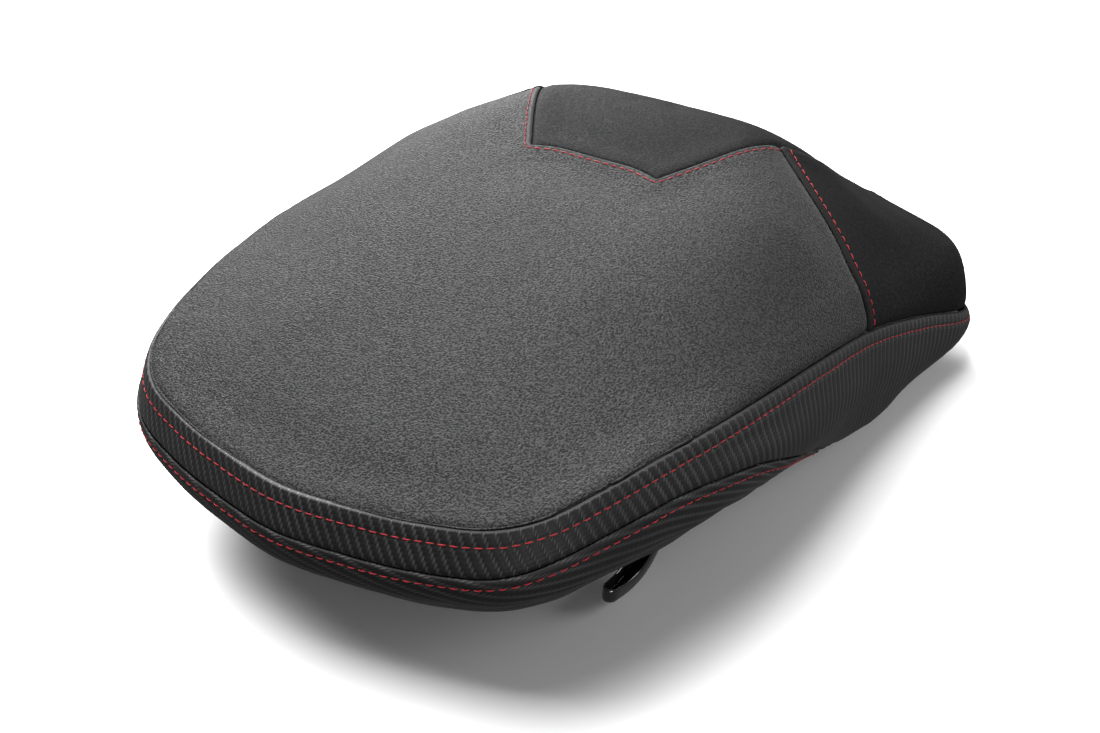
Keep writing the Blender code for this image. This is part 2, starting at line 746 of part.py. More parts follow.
def make_pan():
    def low(point, y):
        return turn_height(point) + PAN_LIP_RISE

    def lip_top(point, y):
        return turn_height(point) + PAN_LIP_RISE + PAN_THICKNESS

    inner = PAN_WALL_INSET + PAN_THICKNESS
    rings = [
        ring(PAN_WALL_INSET, lambda p, y: plate_height(y)),
        ring(PAN_WALL_INSET, lip_top),
        ring(PAN_LIP_INSET, lip_top),
        ring(PAN_LIP_INSET, low),
        ring(inner, low),
        ring(inner, lambda p, y: plate_height(y) - PAN_THICKNESS),
    ]
    verts, faces = ringed_body(rings, ("first", "last"))
    pan = add_object("base_pan", mesh_from("base_pan", verts, faces, 30), "pan_plastic")

    def under(y):
        return plate_height(y) - PAN_THICKNESS

    def add(name, mesh, location=(0, 0, 0)):
        tool = add_object(name, mesh, "pan_plastic")
        tool.location = location
        join_by_boolean(pan, tool, "UNION")

    for k, (x, a, b) in enumerate(LONG_RIBS):
        half = RIB_THICKNESS / 2
        section = [(a, under(a) + LONG_RIB_ROOT), (b, under(b) + LONG_RIB_ROOT),
                   (b, under(b) - RIB_DEPTH), (a, under(a) - RIB_DEPTH)]
        add("guide_rib_long_%d" % k, prism("rib", section, x - half, x + half))
    for k, (y, reach) in enumerate(CROSS_RIBS):
        a, b = y - RIB_THICKNESS / 2, y + RIB_THICKNESS / 2
        cross = [(a, under(a) + CROSS_RIB_ROOT), (b, under(b) + CROSS_RIB_ROOT),
                 (b, under(b) - CROSS_RIB_DEPTH), (a, under(a) - CROSS_RIB_DEPTH)]
        add("guide_rib_cross_%d" % k, prism("rib", cross, -reach, reach))
    for k, (x, y) in enumerate(BUMPER_POSITIONS):
        for side in (-1, 1):
            height = under(y) + LONG_RIB_ROOT
            profile = ((0, height), (BOSS_RADIUS, height),
                       (BOSS_RADIUS, BUMPER_HEIGHT + GAP), (0, BUMPER_HEIGHT + GAP))
            name = "guide_boss_%d_%s" % (k, "right" if side > 0 else "left")
            add(name, turned(name, profile, 20), (side * x, y, 0))


def make_bumpers():
    waist = BUMPER_RADIUS - BUMPER_GROOVE
    profile = ((0, 0), (BUMPER_RADIUS - BUMPER_CHAMFER, 0), (BUMPER_RADIUS, BUMPER_CHAMFER),
               (BUMPER_RADIUS, BUMPER_HEIGHT * 0.45), (waist, BUMPER_HEIGHT * 0.55),
               (waist, BUMPER_HEIGHT * 0.80), (BUMPER_RADIUS, BUMPER_HEIGHT * 0.88),
               (BUMPER_RADIUS, BUMPER_HEIGHT), (0, BUMPER_HEIGHT))
    mesh = turned("bumper", tuple(reversed(profile)), 20)
    for end, (x, y) in zip(("rear", "front"), BUMPER_POSITIONS):
        for side, label in ((-1, "left"), (1, "right")):
            bumper = add_object("bumper_%s_%s" % (end, label), mesh, "rubber")
            bumper.location = (side * x, y, 0)


def hook_centreline():
    """The hook's strap from its root at the base plate to its lifted tip, as (y, z)."""
    root = plate_height(HOOK_BASE_Y) - PAN_THICKNESS - HOOK_ROOT_DEPTH
    return spline(((HOOK_ROOT_Y, root), *HOOK_SWEEP), 4)


def thicken(line, above, below):
    """A closed section around a centreline of (y, z) points."""
    upper = []
    lower = []
    for k, p in enumerate(line):
        a = line[max(k - 1, 0)]
        b = line[min(k + 1, len(line) - 1)]
        length = math.dist(a, b)
        n = (-(b[1] - a[1]) / length, (b[0] - a[0]) / length)
        upper.append((p[0] - n[0] * above, p[1] - n[1] * above))
        lower.append((p[0] + n[0] * below, p[1] + n[1] * below))
    return upper + lower[::-1]


def make_hooks():
    line = hook_centreline()
    half = HOOK_WIDTH / 2
    strap = prism("hook_strap", thicken(line, HOOK_STRAP / 2, HOOK_STRAP / 2), -half, half)
    rail = thicken(line[2:], HOOK_STRAP / 2 + HOOK_RAIL_RISE, HOOK_STRAP / 2 - 0.0001)
    top = plate_height(HOOK_BASE_Y) - PAN_THICKNESS - GAP
    ends = (HOOK_BASE_Y - HOOK_BASE_LENGTH / 2, HOOK_BASE_Y + HOOK_BASE_LENGTH / 2)
    rise = PLATE_SLOPE * HOOK_BASE_LENGTH / 2
    base_section = [(ends[0], top - rise), (ends[1], top + rise),
                    (ends[1], top + rise - HOOK_BASE_THICKNESS),
                    (ends[0], top - rise - HOOK_BASE_THICKNESS)]
    for side, label in ((-1, "left"), (1, "right")):
        name = "hook_" + label
        base = prism("hook_base", base_section, -HOOK_BASE_WIDTH / 2, HOOK_BASE_WIDTH / 2)
        hook = add_object(name, base, "hook_plastic")
        hook.location.x = side * HOOK_X
        parts = [("strap", strap)]
        for k, edge in enumerate((-half, half - HOOK_FLANGE)):
            parts.append(("rail_%d" % k, prism("hook_rail", rail, edge, edge + HOOK_FLANGE)))
        for part, mesh in parts:
            tool = add_object("guide_%s_%s" % (name, part), mesh, "hook_plastic")
            tool.location.x = side * HOOK_X
            join_by_boolean(hook, tool, "UNION")


def screw_mesh(name):
    """A pan-head screw, its head's underside at z = 0 and pointing down."""
    head = SCREW_HEAD_HEIGHT
    profile = ((0, 0), (SCREW_HEAD_RADIUS, 0), (SCREW_HEAD_RADIUS, -head * 0.5),
               (SCREW_HEAD_RADIUS * 0.72, -head), (SCREW_HEAD_RADIUS * 0.45, -head),
               (SCREW_HEAD_RADIUS * 0.40, -head * 0.45), (0, -head * 0.45))
    return turned(name, profile, 16)


def make_screws():
    mesh = screw_mesh("screw")
    tilt = math.atan(PLATE_SLOPE)
    for side, label in ((-1, "left"), (1, "right")):
        for end, shift in HOOK_SCREWS:
            y = HOOK_BASE_Y + shift
            z = plate_height(y) - PAN_THICKNESS - HOOK_BASE_THICKNESS - 2 * GAP
            screw = add_object("hook_screw_%s_%s" % (label, end), mesh, "black_screw")
            screw.location = (side * HOOK_X, y, z)
            screw.rotation_euler.x = tilt
    for side, label in ((-1, "left"), (1, "right")):
        y = STRIKER_Y
        z = plate_height(y) - PAN_THICKNESS - STRIKER_PLATE[2] - 2 * GAP
        screw = add_object("striker_screw_" + label, mesh, "black_screw")
        screw.location = (side * PLATE_SCREW_X, y, z)
        screw.rotation_euler.x = tilt


def nut_mesh(top):
    """A plain hexagon nut whose bore clears the rod, its upper face at this height."""
    corners = 6
    count = NUT_BORE_SIDES
    hole = STRIKER_WIRE + GAP

    def circle(radius, sides):
        turn = 2 * math.pi / sides
        return [(radius * math.cos(turn * k), radius * math.sin(turn * k)) for k in range(sides)]

    layer = corners + count
    verts = [Vector((x, y, z)) for z in (top, top - NUT_HEIGHT)
             for x, y in circle(NUT_RADIUS, corners) + circle(hole, count)]
    faces = []
    for k in range(corners):
        j = (k + 1) % corners
        faces.append((k, j, j + layer, k + layer))
        for base in (0, layer):
            a, m, b = (base + corners + (2 * k + i) % count for i in range(3))
            faces += [(base + k, a, m), (base + k, m, base + j), (base + j, m, b)]
    for k in range(count):
        j = (k + 1) % count
        faces.append((corners + k, corners + j, corners + j + layer, corners + k + layer))
    return mesh_from("nut", verts, faces, 20)


def make_striker():
    """Latch striker: a steel plate under the pan and a bent rod loop held by two nuts."""
    sx, sy, sz = STRIKER_PLATE
    a, b = STRIKER_Y - sy / 2, STRIKER_Y + sy / 2
    top = [plate_height(y) - PAN_THICKNESS - GAP for y in (a, b)]
    section = [(a, top[0]), (b, top[1]), (b, top[1] - sz), (a, top[0] - sz)]
    add_object("striker_plate", prism("striker_plate", section, -sx / 2, sx / 2), "zinc_steel")

    level = plate_height(STRIKER_Y) - PAN_THICKNESS - sz
    half = STRIKER_SPAN / 2
    bend = STRIKER_BEND
    low = STRIKER_BOTTOM + STRIKER_WIRE
    start = level - 3 * GAP
    points = [(-half, start)]
    for middle, first in ((-half + bend, math.pi), (half - bend, 1.5 * math.pi)):
        for k in range(BEND_STEPS + 1):
            angle = first + k * math.pi / 2 / BEND_STEPS
            points.append((middle + bend * math.cos(angle), low + bend + bend * math.sin(angle)))
    points.append((half, start))
    curve = bpy.data.curves.new("striker_loop", "CURVE")
    curve.dimensions = "3D"
    rod = curve.splines.new("POLY")
    rod.points.add(len(points) - 1)
    for target, (x, z) in zip(rod.points, points):
        target.co = (x, 0.0, z, 1.0)
    curve.bevel_depth = STRIKER_WIRE
    curve.bevel_resolution = 3
    curve.use_fill_caps = True
    loop = bpy.data.objects.new("striker_loop", curve)
    bpy.context.scene.collection.objects.link(loop)
    curve.materials.append(material("zinc_steel"))
    loop.location.y = STRIKER_Y

    for side, label in ((-1, "left"), (1, "right")):
        mesh = nut_mesh(level - NUT_DROP)
        nut = add_object("striker_nut_" + label, mesh, "zinc_steel")
        nut.location = (side * half, STRIKER_Y, 0)


def main():
    for obj in list(bpy.data.objects):
        bpy.data.objects.remove(obj, do_unlink=True)
    layout = top_layout()
    top = top_surface(layout)
    wall = wall_surface()
    make_top_panels(layout, top)
    make_walls(wall)
    make_foam(layout, top, wall)
    make_pan()
    make_bumpers()
    make_hooks()
    make_screws()
    make_striker()


main()
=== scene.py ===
"""Finished look of the motorcycle seat, built round its CAD parts.

Metres, in the part's frame: +X is the seat's right side, +Y points towards the raised nose, +Z is up.
"""
import json
import math
from bisect import bisect_right

import bmesh
import bpy
import numpy as np
from mathutils import Matrix, Vector
from mathutils.bvhtree import BVHTree
from mathutils.geometry import delaunay_2d_cdt
from mathutils.kdtree import KDTree


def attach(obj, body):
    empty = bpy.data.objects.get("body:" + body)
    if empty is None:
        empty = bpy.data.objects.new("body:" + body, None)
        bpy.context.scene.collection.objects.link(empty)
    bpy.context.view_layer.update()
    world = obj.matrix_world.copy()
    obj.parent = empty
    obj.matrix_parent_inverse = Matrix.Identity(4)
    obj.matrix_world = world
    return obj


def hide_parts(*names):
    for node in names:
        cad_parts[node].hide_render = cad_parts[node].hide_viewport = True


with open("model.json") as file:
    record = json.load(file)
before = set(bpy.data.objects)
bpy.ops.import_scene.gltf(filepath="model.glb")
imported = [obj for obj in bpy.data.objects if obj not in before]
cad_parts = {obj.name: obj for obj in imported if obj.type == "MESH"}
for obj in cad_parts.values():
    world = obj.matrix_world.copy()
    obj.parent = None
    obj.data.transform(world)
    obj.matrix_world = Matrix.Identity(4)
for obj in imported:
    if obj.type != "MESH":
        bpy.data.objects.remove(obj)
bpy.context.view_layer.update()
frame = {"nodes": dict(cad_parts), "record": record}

# ---- camera and light ----

CAMERA_LENS = 45.82
CAMERA_PLACE = (0.34323, -0.51830, 0.44014)
CAMERA_RIGHT = (0.834286, 0.551331, -0.000959)
CAMERA_UP = (-0.300833, 0.456682, 0.837222)
CAMERA_AHEAD = (-0.462025, 0.698194, -0.546862)
WORLD_STRENGTH = 0.13
# Name, place, what it points at, size, power, other side of its size.
LIGHTS = (
    ("overhead", (-0.42, -0.14, 1.40), (0.0, 0.0, 0.0), 1.1, 50.0, 1.1),
    ("key", (-1.05, 1.00, 0.80), (0.0, 0.0, 0.05), 0.8, 39.0, 0.6),
    ("front", (1.1, -0.9, 0.13), (0.0, 0.0, 0.05), 0.8, 8.0, 0.2),
    ("side", (1.05, 0.85, 0.50), (0.0, 0.1, 0.05), 0.8, 8.0, 0.6),
)

# ---- the seat's dimensions ----

# Top seam, right half, seen from above: rear centre, rear corner, side, front corner, front centre.
OUTLINE = (
    (0.000, -0.2010), (0.036, -0.1970), (0.066, -0.1910), (0.094, -0.1810), (0.111, -0.1650),
    (0.1218, -0.1420), (0.1318, -0.1110), (0.1402, -0.0790), (0.1460, -0.0410), (0.1486, 0.0040),
    (0.1505, 0.0610), (0.1570, 0.1240), (0.1635, 0.1680), (0.1585, 0.1895), (0.1380, 0.1998),
    (0.090, 0.2040), (0.000, 0.2053),
)
# Heights along the length, as (y, z).
SEAM_HEIGHT = (
    (-0.201, 0.086), (-0.151, 0.097), (-0.101, 0.100), (-0.051, 0.098), (0.000, 0.090),
    (0.064, 0.075), (0.124, 0.055), (0.180, 0.034), (0.201, 0.030),
)
CROWN_HEIGHT = (
    (-0.201, 0.086), (-0.151, 0.098), (-0.101, 0.110), (-0.051, 0.121), (0.000, 0.1305),
    (0.044, 0.138), (0.084, 0.1446), (0.110, 0.1462), (0.134, 0.1360), (0.158, 0.1160),
    (0.182, 0.0960), (0.201, 0.0830),
)
TURN_HEIGHT = (
    (-0.201, 0.0320), (-0.194, 0.0345), (-0.184, 0.0385), (-0.170, 0.0410), (-0.115, 0.0405),
    (-0.095, 0.0390), (-0.066, 0.0370), (-0.022, 0.0290), (0.020, 0.0200), (0.064, 0.010),
    (0.104, 0.004), (0.138, 0.005), (0.168, 0.009), (0.201, 0.014),
)
# Drop of the lower seam below the top seam, as (y, drop). It runs out into the hem at the end.
LOWER_SEAM_DROP = (
    (-0.201, 0.0190), (-0.180, 0.0190), (-0.160, 0.0170), (-0.135, 0.0170), (-0.105, 0.0192),
    (-0.065, 0.0268), (-0.037, 0.0370), (-0.010, 0.0490), (0.014, 0.0610),
)
# How the crown falls to the side: (y, flat share of the half width, steepness, shoulder height).
SHOULDER = (
    (-0.201, 0.10, 2.6, 0.0015), (-0.080, 0.15, 2.8, 0.0015), (-0.020, 0.38, 2.8, 0.0070),
    (0.036, 0.48, 2.7, 0.0105), (0.064, 0.46, 2.1, 0.0105), (0.104, 0.40, 1.3, 0.0135),
    (0.139, 0.36, 1.2, 0.0225), (0.168, 0.36, 1.2, 0.0330), (0.201, 0.36, 1.2, 0.0435),
)
SHOULDER_SOFTNESS = 0.20
# Width over which the top rolls over into the top seam, as (y, width).
EDGE_ROLL = (
    (-0.201, 0.003), (-0.080, 0.003), (-0.020, 0.007), (0.060, 0.011), (0.110, 0.012),
    (0.165, 0.015), (0.201, 0.018),
)
REAR_CORNER_HALF_WIDTH = 0.118
REAR_CORNER_Y = -0.150
FRONT_CORNER_Y = 0.168

# Side wall from the top seam to the hem: (offset outwards, share of the wall's height).
WALL_PROFILE = ((0.0, 0.0), (0.0054, 0.20), (0.0086, 0.42), (0.0062, 0.66), (-0.0080, 0.92))
# How much of that offset there is along the length, as (y, share).
WALL_BULGE = ((-0.201, 1.0), (-0.100, 1.0), (0.060, 0.75), (0.168, 0.50), (0.201, 0.50))
# Offset near the foot of the wall, added along the length, as (y, offset).
FOOT_SPREAD = (
    (-0.201, 0.0), (-0.060, 0.0), (0.000, 0.0010), (0.030, 0.0045), (0.065, 0.0075),
    (0.090, 0.0055), (0.120, 0.0010), (0.201, 0.0),
)
SECTION_STEPS = 10
HEM_DROP = 0.0010
HEM_START = 0.0112
HEM_END = 0.0205
HOOK_NOTCH_Y = -0.100
HOOK_NOTCH_WIDTH = 0.013
HOOK_NOTCH_RISE = -0.0010
INSET_CORE_X = 0.080
INSET_CORE_Y = (-0.120, 0.130)

# Seams of the nose panel and the wing panels, right half, seen from above.
NOSE_INNER = (0.0377, 0.0397)
NOSE_MIDDLE = (0.0, 0.0436)
NOSE_SHOULDER = (0.0230, 0.0434)
NOSE_BOW = (0.0555, 0.0687)
NOSE_OUTER = (0.0740, 0.1035)
NOSE_FRONT = ((0.0830, 0.1340), (0.0920, 0.1680))
NOSE_FOOT_X = 0.0980
WING_SEAM = ((0.0927, 0.0893), (0.1097, 0.0775), (0.1240, 0.0695), (0.1368, 0.0625))
WING_SEAM_END_Y = 0.0600

GAP = 0.0003
TURN_SHARE = 0.72

PAN_THICKNESS = 0.003
PLATE_MID_HEIGHT = 0.0480
PLATE_SLOPE = -0.028

HOOK_X = 0.104
HOOK_WIDTH = 0.014
HOOK_STRAP = 0.0035
HOOK_BASE_LENGTH = 0.046
HOOK_BASE_WIDTH = 0.020
HOOK_BASE_Y = -0.066
HOOK_BASE_THICKNESS = 0.005
HOOK_ROOT_DEPTH = 0.004
HOOK_RAIL_RISE = 0.0035
HOOK_TAPER = 0.50
# The hook's strap below its root, down and back to the lifted tip, as (y, z).
HOOK_SWEEP = (
    (-0.063, 0.030), (-0.070, 0.0165), (-0.081, 0.0068), (-0.095, 0.0040), (-0.112, 0.0072),
)
HOOK_ROOT_Y = -0.060


# ---- curves and tables ----

def catmull(p0, p1, p2, p3, t):
    """One point of a Catmull-Rom spline between p1 and p2."""
    t2 = t * t
    t3 = t2 * t
    weights = (-0.5 * t3 + t2 - 0.5 * t, 1.5 * t3 - 2.5 * t2 + 1.0,
               -1.5 * t3 + 2.0 * t2 + 0.5 * t, 0.5 * t3 - 0.5 * t2)
    return tuple(sum(w * p[k] for w, p in zip(weights, (p0, p1, p2, p3))) for k in range(len(p0)))


def spline(points, steps):
    """Points along a smooth curve through the given points, both ends included."""
    first = tuple(2 * a - b for a, b in zip(points[0], points[1]))
    last = tuple(2 * a - b for a, b in zip(points[-1], points[-2]))
    ext = [first, *points, last]
    out = []
    for i in range(1, len(ext) - 2):
        for k in range(steps):
            out.append(catmull(ext[i - 1], ext[i], ext[i + 1], ext[i + 2], k / steps))
    out.append(tuple(points[-1]))
    return out


def table(rows, y, column=1):
    """Smooth value of a table's column at y, held constant past both ends."""
    if y <= rows[0][0]:
        return rows[0][column]
    if y >= rows[-1][0]:
        return rows[-1][column]
    i = 0
    while rows[i + 1][0] < y:
        i += 1
    slopes = []
    for j in (i, i + 1):
        a = max(j - 1, 0)
        b = min(j + 1, len(rows) - 1)
        slopes.append((rows[b][column] - rows[a][column]) / (rows[b][0] - rows[a][0]))
    span = rows[i + 1][0] - rows[i][0]
    t = (y - rows[i][0]) / span
    h00 = (1 + 2 * t) * (1 - t) ** 2
    h10 = t * (1 - t) ** 2
    h01 = t * t * (3 - 2 * t)
    h11 = t * t * (t - 1)
    return (h00 * rows[i][column] + h10 * span * slopes[0]
            + h01 * rows[i + 1][column] + h11 * span * slopes[1])


def full_outline():
    """The whole top seam seen from above, counter-clockwise from the rear centre."""
    before, after = ((-x, y) for x, y in (OUTLINE[1], OUTLINE[-2]))
    right = spline((before, *OUTLINE, after), 24)[24:-24]
    left = [(-x, y) for x, y in reversed(right[1:-1])]
    return right + left


def resample(loop, count):
    """Evenly spaced points on a closed loop, starting at its first point."""
    closed = loop + [loop[0]]
    lengths = [0.0]
    for a, b in zip(closed, closed[1:]):
        lengths.append(lengths[-1] + math.dist(a, b))
    out = []
    i = 0
    for k in range(count):
        want = lengths[-1] * k / count
        while lengths[i + 1] < want:
            i += 1
        t = (want - lengths[i]) / (lengths[i + 1] - lengths[i])
        a, b = closed[i], closed[i + 1]
        out.append((a[0] + (b[0] - a[0]) * t, a[1] + (b[1] - a[1]) * t))
    return out


DENSE_OUTLINE = full_outline()
OUTLINE_ANGLES = [(math.atan2(y, x), x, y) for x, y in DENSE_OUTLINE]
OUTLINE_ANGLES.sort()


def rim_point(angle):
    """Where the ray from the origin at this angle crosses the top seam, from above."""
    rows = OUTLINE_ANGLES
    if angle <= rows[0][0] or angle >= rows[-1][0]:
        a, b = rows[-1], rows[0]
        gap = b[0] + 2 * math.pi - a[0]
        t = ((angle - a[0]) % (2 * math.pi)) / gap
    else:
        after = bisect_right(rows, angle, key=lambda row: row[0])
        a, b = rows[after - 1], rows[after]
        t = (angle - a[0]) / (b[0] - a[0])
    return a[1] + (b[1] - a[1]) * t, a[2] + (b[2] - a[2]) * t


def half_width(y):
    """Half width of the top seam at y, held constant past the corners."""
    if y < REAR_CORNER_Y:
        return REAR_CORNER_HALF_WIDTH
    y = min(y, FRONT_CORNER_Y)
    side = [(p[1], p[0]) for p in OUTLINE[4:13]]
    return table(side, y)


# ---- the seat's outer surface ----

def soft_ramp(t):
    return 0.5 * (t + math.sqrt(t * t + SHOULDER_SOFTNESS ** 2))


def crown(x, y):
    """Height of the top before it rolls over at its edge."""
    flat = table(SHOULDER, y, 1)
    power = table(SHOULDER, y, 2)
    shoulder = table(SHOULDER, y, 3)
    start = soft_ramp(-flat / (1 - flat))
    ramp = soft_ramp((abs(x) / half_width(y) - flat) / (1 - flat)) - start
    share = max(ramp / (soft_ramp(1.0) - start), 0.0) ** power
    top = table(CROWN_HEIGHT, y)
    return top - (top - table(SEAM_HEIGHT, y) - shoulder) * share


def top_point(u, v):
    """Top surface over the flattened plan (u, v), in which the rolled edge is laid out flat."""
    radius = math.hypot(u, v)
    if radius < 1e-9:
        return Vector((0.0, 0.0, crown(0.0, 0.0)))
    rx, ry = rim_point(math.atan2(v, u))
    rim = math.hypot(rx, ry)
    roll = table(EDGE_ROLL, ry)
    arc = (rim + (math.pi / 2 - 1) * roll - radius) / roll
    if arc >= math.pi / 2:
        return Vector((u, v, crown(u, v)))
    arc = max(arc, 0.0)
    plan = rim - roll * (1 - math.cos(arc))
    x = u / radius * plan
    y = v / radius * plan
    rise = math.sin(arc)
    return Vector((x, y, table(SEAM_HEIGHT, ry) * (1 - rise) + crown(x, y) * rise))


def flattened_rim(point):
    """The flattened-plan position of a point on the top seam."""
    radius = math.hypot(*point)
    scale = 1 + (math.pi / 2 - 1) * table(EDGE_ROLL, point[1]) / radius
    return point[0] * scale, point[1] * scale


def inward(point):
    """Unit direction from the seam towards the middle of the seat, from above."""
    qx = max(-INSET_CORE_X, min(INSET_CORE_X, point[0]))
    qy = max(INSET_CORE_Y[0], min(INSET_CORE_Y[1], point[1]))
    d = Vector((qx - point[0], qy - point[1]))
    return d.normalized()


def turn_height(point):
    notch = math.exp(-((point[1] - HOOK_NOTCH_Y) / HOOK_NOTCH_WIDTH) ** 2)
    if abs(point[0]) < 0.08:
        notch = 0.0
    return table(TURN_HEIGHT, point[1]) + HOOK_NOTCH_RISE * notch


def wall_polyline(point):
    """The wall's section at a seam point, from the top seam down and round to the hem's end."""
    top = table(SEAM_HEIGHT, point[1])
    turn = turn_height(point)
    d = inward(point)
    bulge = table(WALL_BULGE, point[1])
    section = [(offset * bulge, top - share * (top - turn)) for offset, share in WALL_PROFILE]
    section[-1] = (section[-1][0] + table(FOOT_SPREAD, point[1]), section[-1][1])
    section.append((-HEM_START, turn - HEM_DROP))
    section.append((-HEM_END, turn - HEM_DROP))
    out = []
    for offset, z in spline(section, SECTION_STEPS):
        out.append(Vector((point[0] - d.x * offset, point[1] - d.y * offset, z)))
    return out


def distance_along(line):
    run = [0.0]
    for a, b in zip(line, line[1:]):
        run.append(run[-1] + (b - a).length)
    return run


def polyline_point(line, share):
    """Point at a share of a polyline's length."""
    lengths = distance_along(line)
    want = max(0.0, min(1.0, share)) * lengths[-1]
    i = 0
    while i < len(line) - 2 and lengths[i + 1] < want:
        i += 1
    t = (want - lengths[i]) / (lengths[i + 1] - lengths[i])
    return line[i].lerp(line[i + 1], t)


def lower_seam_share(point, line):
    """Where the lower seam lies on the wall's section, as a share of its length."""
    level = table(SEAM_HEIGHT, point[1]) - table(LOWER_SEAM_DROP, point[1])
    if point[1] > LOWER_SEAM_DROP[-1][0]:
        return TURN_SHARE
    length = 0.0
    total = sum((b - a).length for a, b in zip(line, line[1:]))
    for a, b in zip(line, line[1:]):
        if b.z <= level:
            crossing = (length + (b - a).length * (a.z - level) / max(a.z - b.z, 1e-9)) / total
            return min(crossing, TURN_SHARE)
        length += (b - a).length
    return TURN_SHARE


def plate_height(y):
    return PLATE_MID_HEIGHT + PLATE_SLOPE * y


# ---- seams and folds ----

COLUMNS = 640
SEAM_STEP = 0.0020
TOP_GRID = 0.0032
SHEET = 0.0013
TOP_STITCH = 0.0072
LOWER_STITCH = 0.0045
NOSE_STITCH = 0.0035
WING_STITCH = 0.0056
STITCH_PITCH = 0.0050
STITCH_LENGTH = 0.0039
THREAD_RADIUS = 0.00028
THREAD_SIDES = 6
PATH_STEP = 0.0005
GROOVE_DEPTH = 0.0022
# How far the twill's ribs lean, as (y, sideways run for each metre down); and the same below.
TWILL_LEAN = ((-0.200, 0.0), (-0.120, 0.25), (0.020, 0.55), (0.200, 0.85))
LOWER_TWILL_LEAN = 0.30
LOWER_PANEL_LEAST = 0.0008
# Width of the band's folded strip below the top seam that gets a painted highlight.
BAND_PAINTED_HIGHLIGHT_WIDTH = 0.0009
LOWER_FOLD_RISE = 0.55
LOWER_SEAM_END_Y = 0.046
OWNER_ROWS = (0.0004, 0.0009, 0.0015, 0.0023, 0.0032, 0.0040, 0.0049, 0.0058, 0.0068, 0.0085)
NEIGHBOUR_ROWS = (0.0005, 0.0011, 0.0018, 0.0028, 0.0042, 0.0062)


def owner_profile(stitch):
    """Height of a folded edge over the surface, by distance from the seam."""
    return ((0.0, -0.0012), (0.0004, 0.0001), (0.0009, 0.0006), (0.0016, 0.0008),
            (stitch - 0.0016, 0.0006), (stitch, 0.0001), (stitch + 0.0016, 0.0004),
            (stitch + 0.0045, 0.0001), (stitch + 0.0080, 0.0))


NEIGHBOUR_PROFILE = ((0.0, -0.0015), (0.0006, -0.0010), (0.0014, -0.0005), (0.0028, -0.0002),
                     (0.0060, 0.0))


def heights(profile, distances):
    """A smooth profile's height at each distance."""
    at = np.arange(0.0, profile[-1][0] + 1e-4, 5e-5)
    return np.interp(distances, at, [table(profile, d) for d in at], right=0.0)


def run_lengths(pts):
    """Distance from the first point along a line to each of its points."""
    return np.concatenate([[0.0], np.cumsum(np.linalg.norm(np.diff(pts, axis=0), axis=1))])


def along(line, step):
    """Evenly spaced points on a polyline, both ends included."""
    pts = np.array([tuple(p) for p in line], float)
    run = run_lengths(pts)
    count = max(1, round(run[-1] / step))
    want = np.linspace(0.0, run[-1], count + 1)
    return np.stack([np.interp(want, run, pts[:, k]) for k in range(pts.shape[1])], axis=1)


def mirrored(line):
    return np.array(line)[::-1] * (-1, 1)


def seam_plans():
    """The seams of the top over the flattened plan."""
    rim = np.array([flattened_rim(p) for p in resample(DENSE_OUTLINE, COLUMNS)])
    foot = rim[np.argmin(abs(rim[:, 0] - NOSE_FOOT_X) + (rim[:, 1] < 0.15))]
    end = rim[np.argmin(abs(rim[:, 1] - WING_SEAM_END_Y) + (rim[:, 0] < 0))]
    inner = along(spline((NOSE_MIDDLE, NOSE_SHOULDER, NOSE_INNER), 8), SEAM_STEP)
    outer = along(spline((NOSE_INNER, NOSE_BOW, NOSE_OUTER), 8), SEAM_STEP)
    right = np.concatenate([inner, outer[1:]])
    nose = np.concatenate([mirrored(right), right[1:]])
    front = along(spline((NOSE_OUTER, *NOSE_FRONT, tuple(foot)), 8), SEAM_STEP)
    wing = along(spline((NOSE_OUTER, *WING_SEAM, tuple(end)), 8), SEAM_STEP)
    return {"rim": rim, "nose": nose, "front_right": front, "front_left": mirrored(front)[::-1],
            "wing_right": wing, "wing_left": mirrored(wing)[::-1]}


def lift(points):
    return np.array([top_point(u, v) for u, v in points])


def nearest(points, tree):
    return np.array([tree.find(p)[2] for p in points])


def kd_tree(points):
    tree = KDTree(len(points))
    for k, p in enumerate(points):
        tree.insert(Vector((*p, 0.0)[:3]), k)
    tree.balance()
    return tree


def offset_rows(line, distances, closed=False):
    """Points beside a plan line at each signed distance, to its left when positive."""
    if closed:
        ahead = np.roll(line, -1, axis=0) - np.roll(line, 1, axis=0)
    else:
        ahead = np.gradient(line, axis=0)
    ahead /= np.linalg.norm(ahead, axis=1)[:, None]
    side = np.stack([-ahead[:, 1], ahead[:, 0]], axis=1)
    return np.concatenate([line + side * d for d in distances])


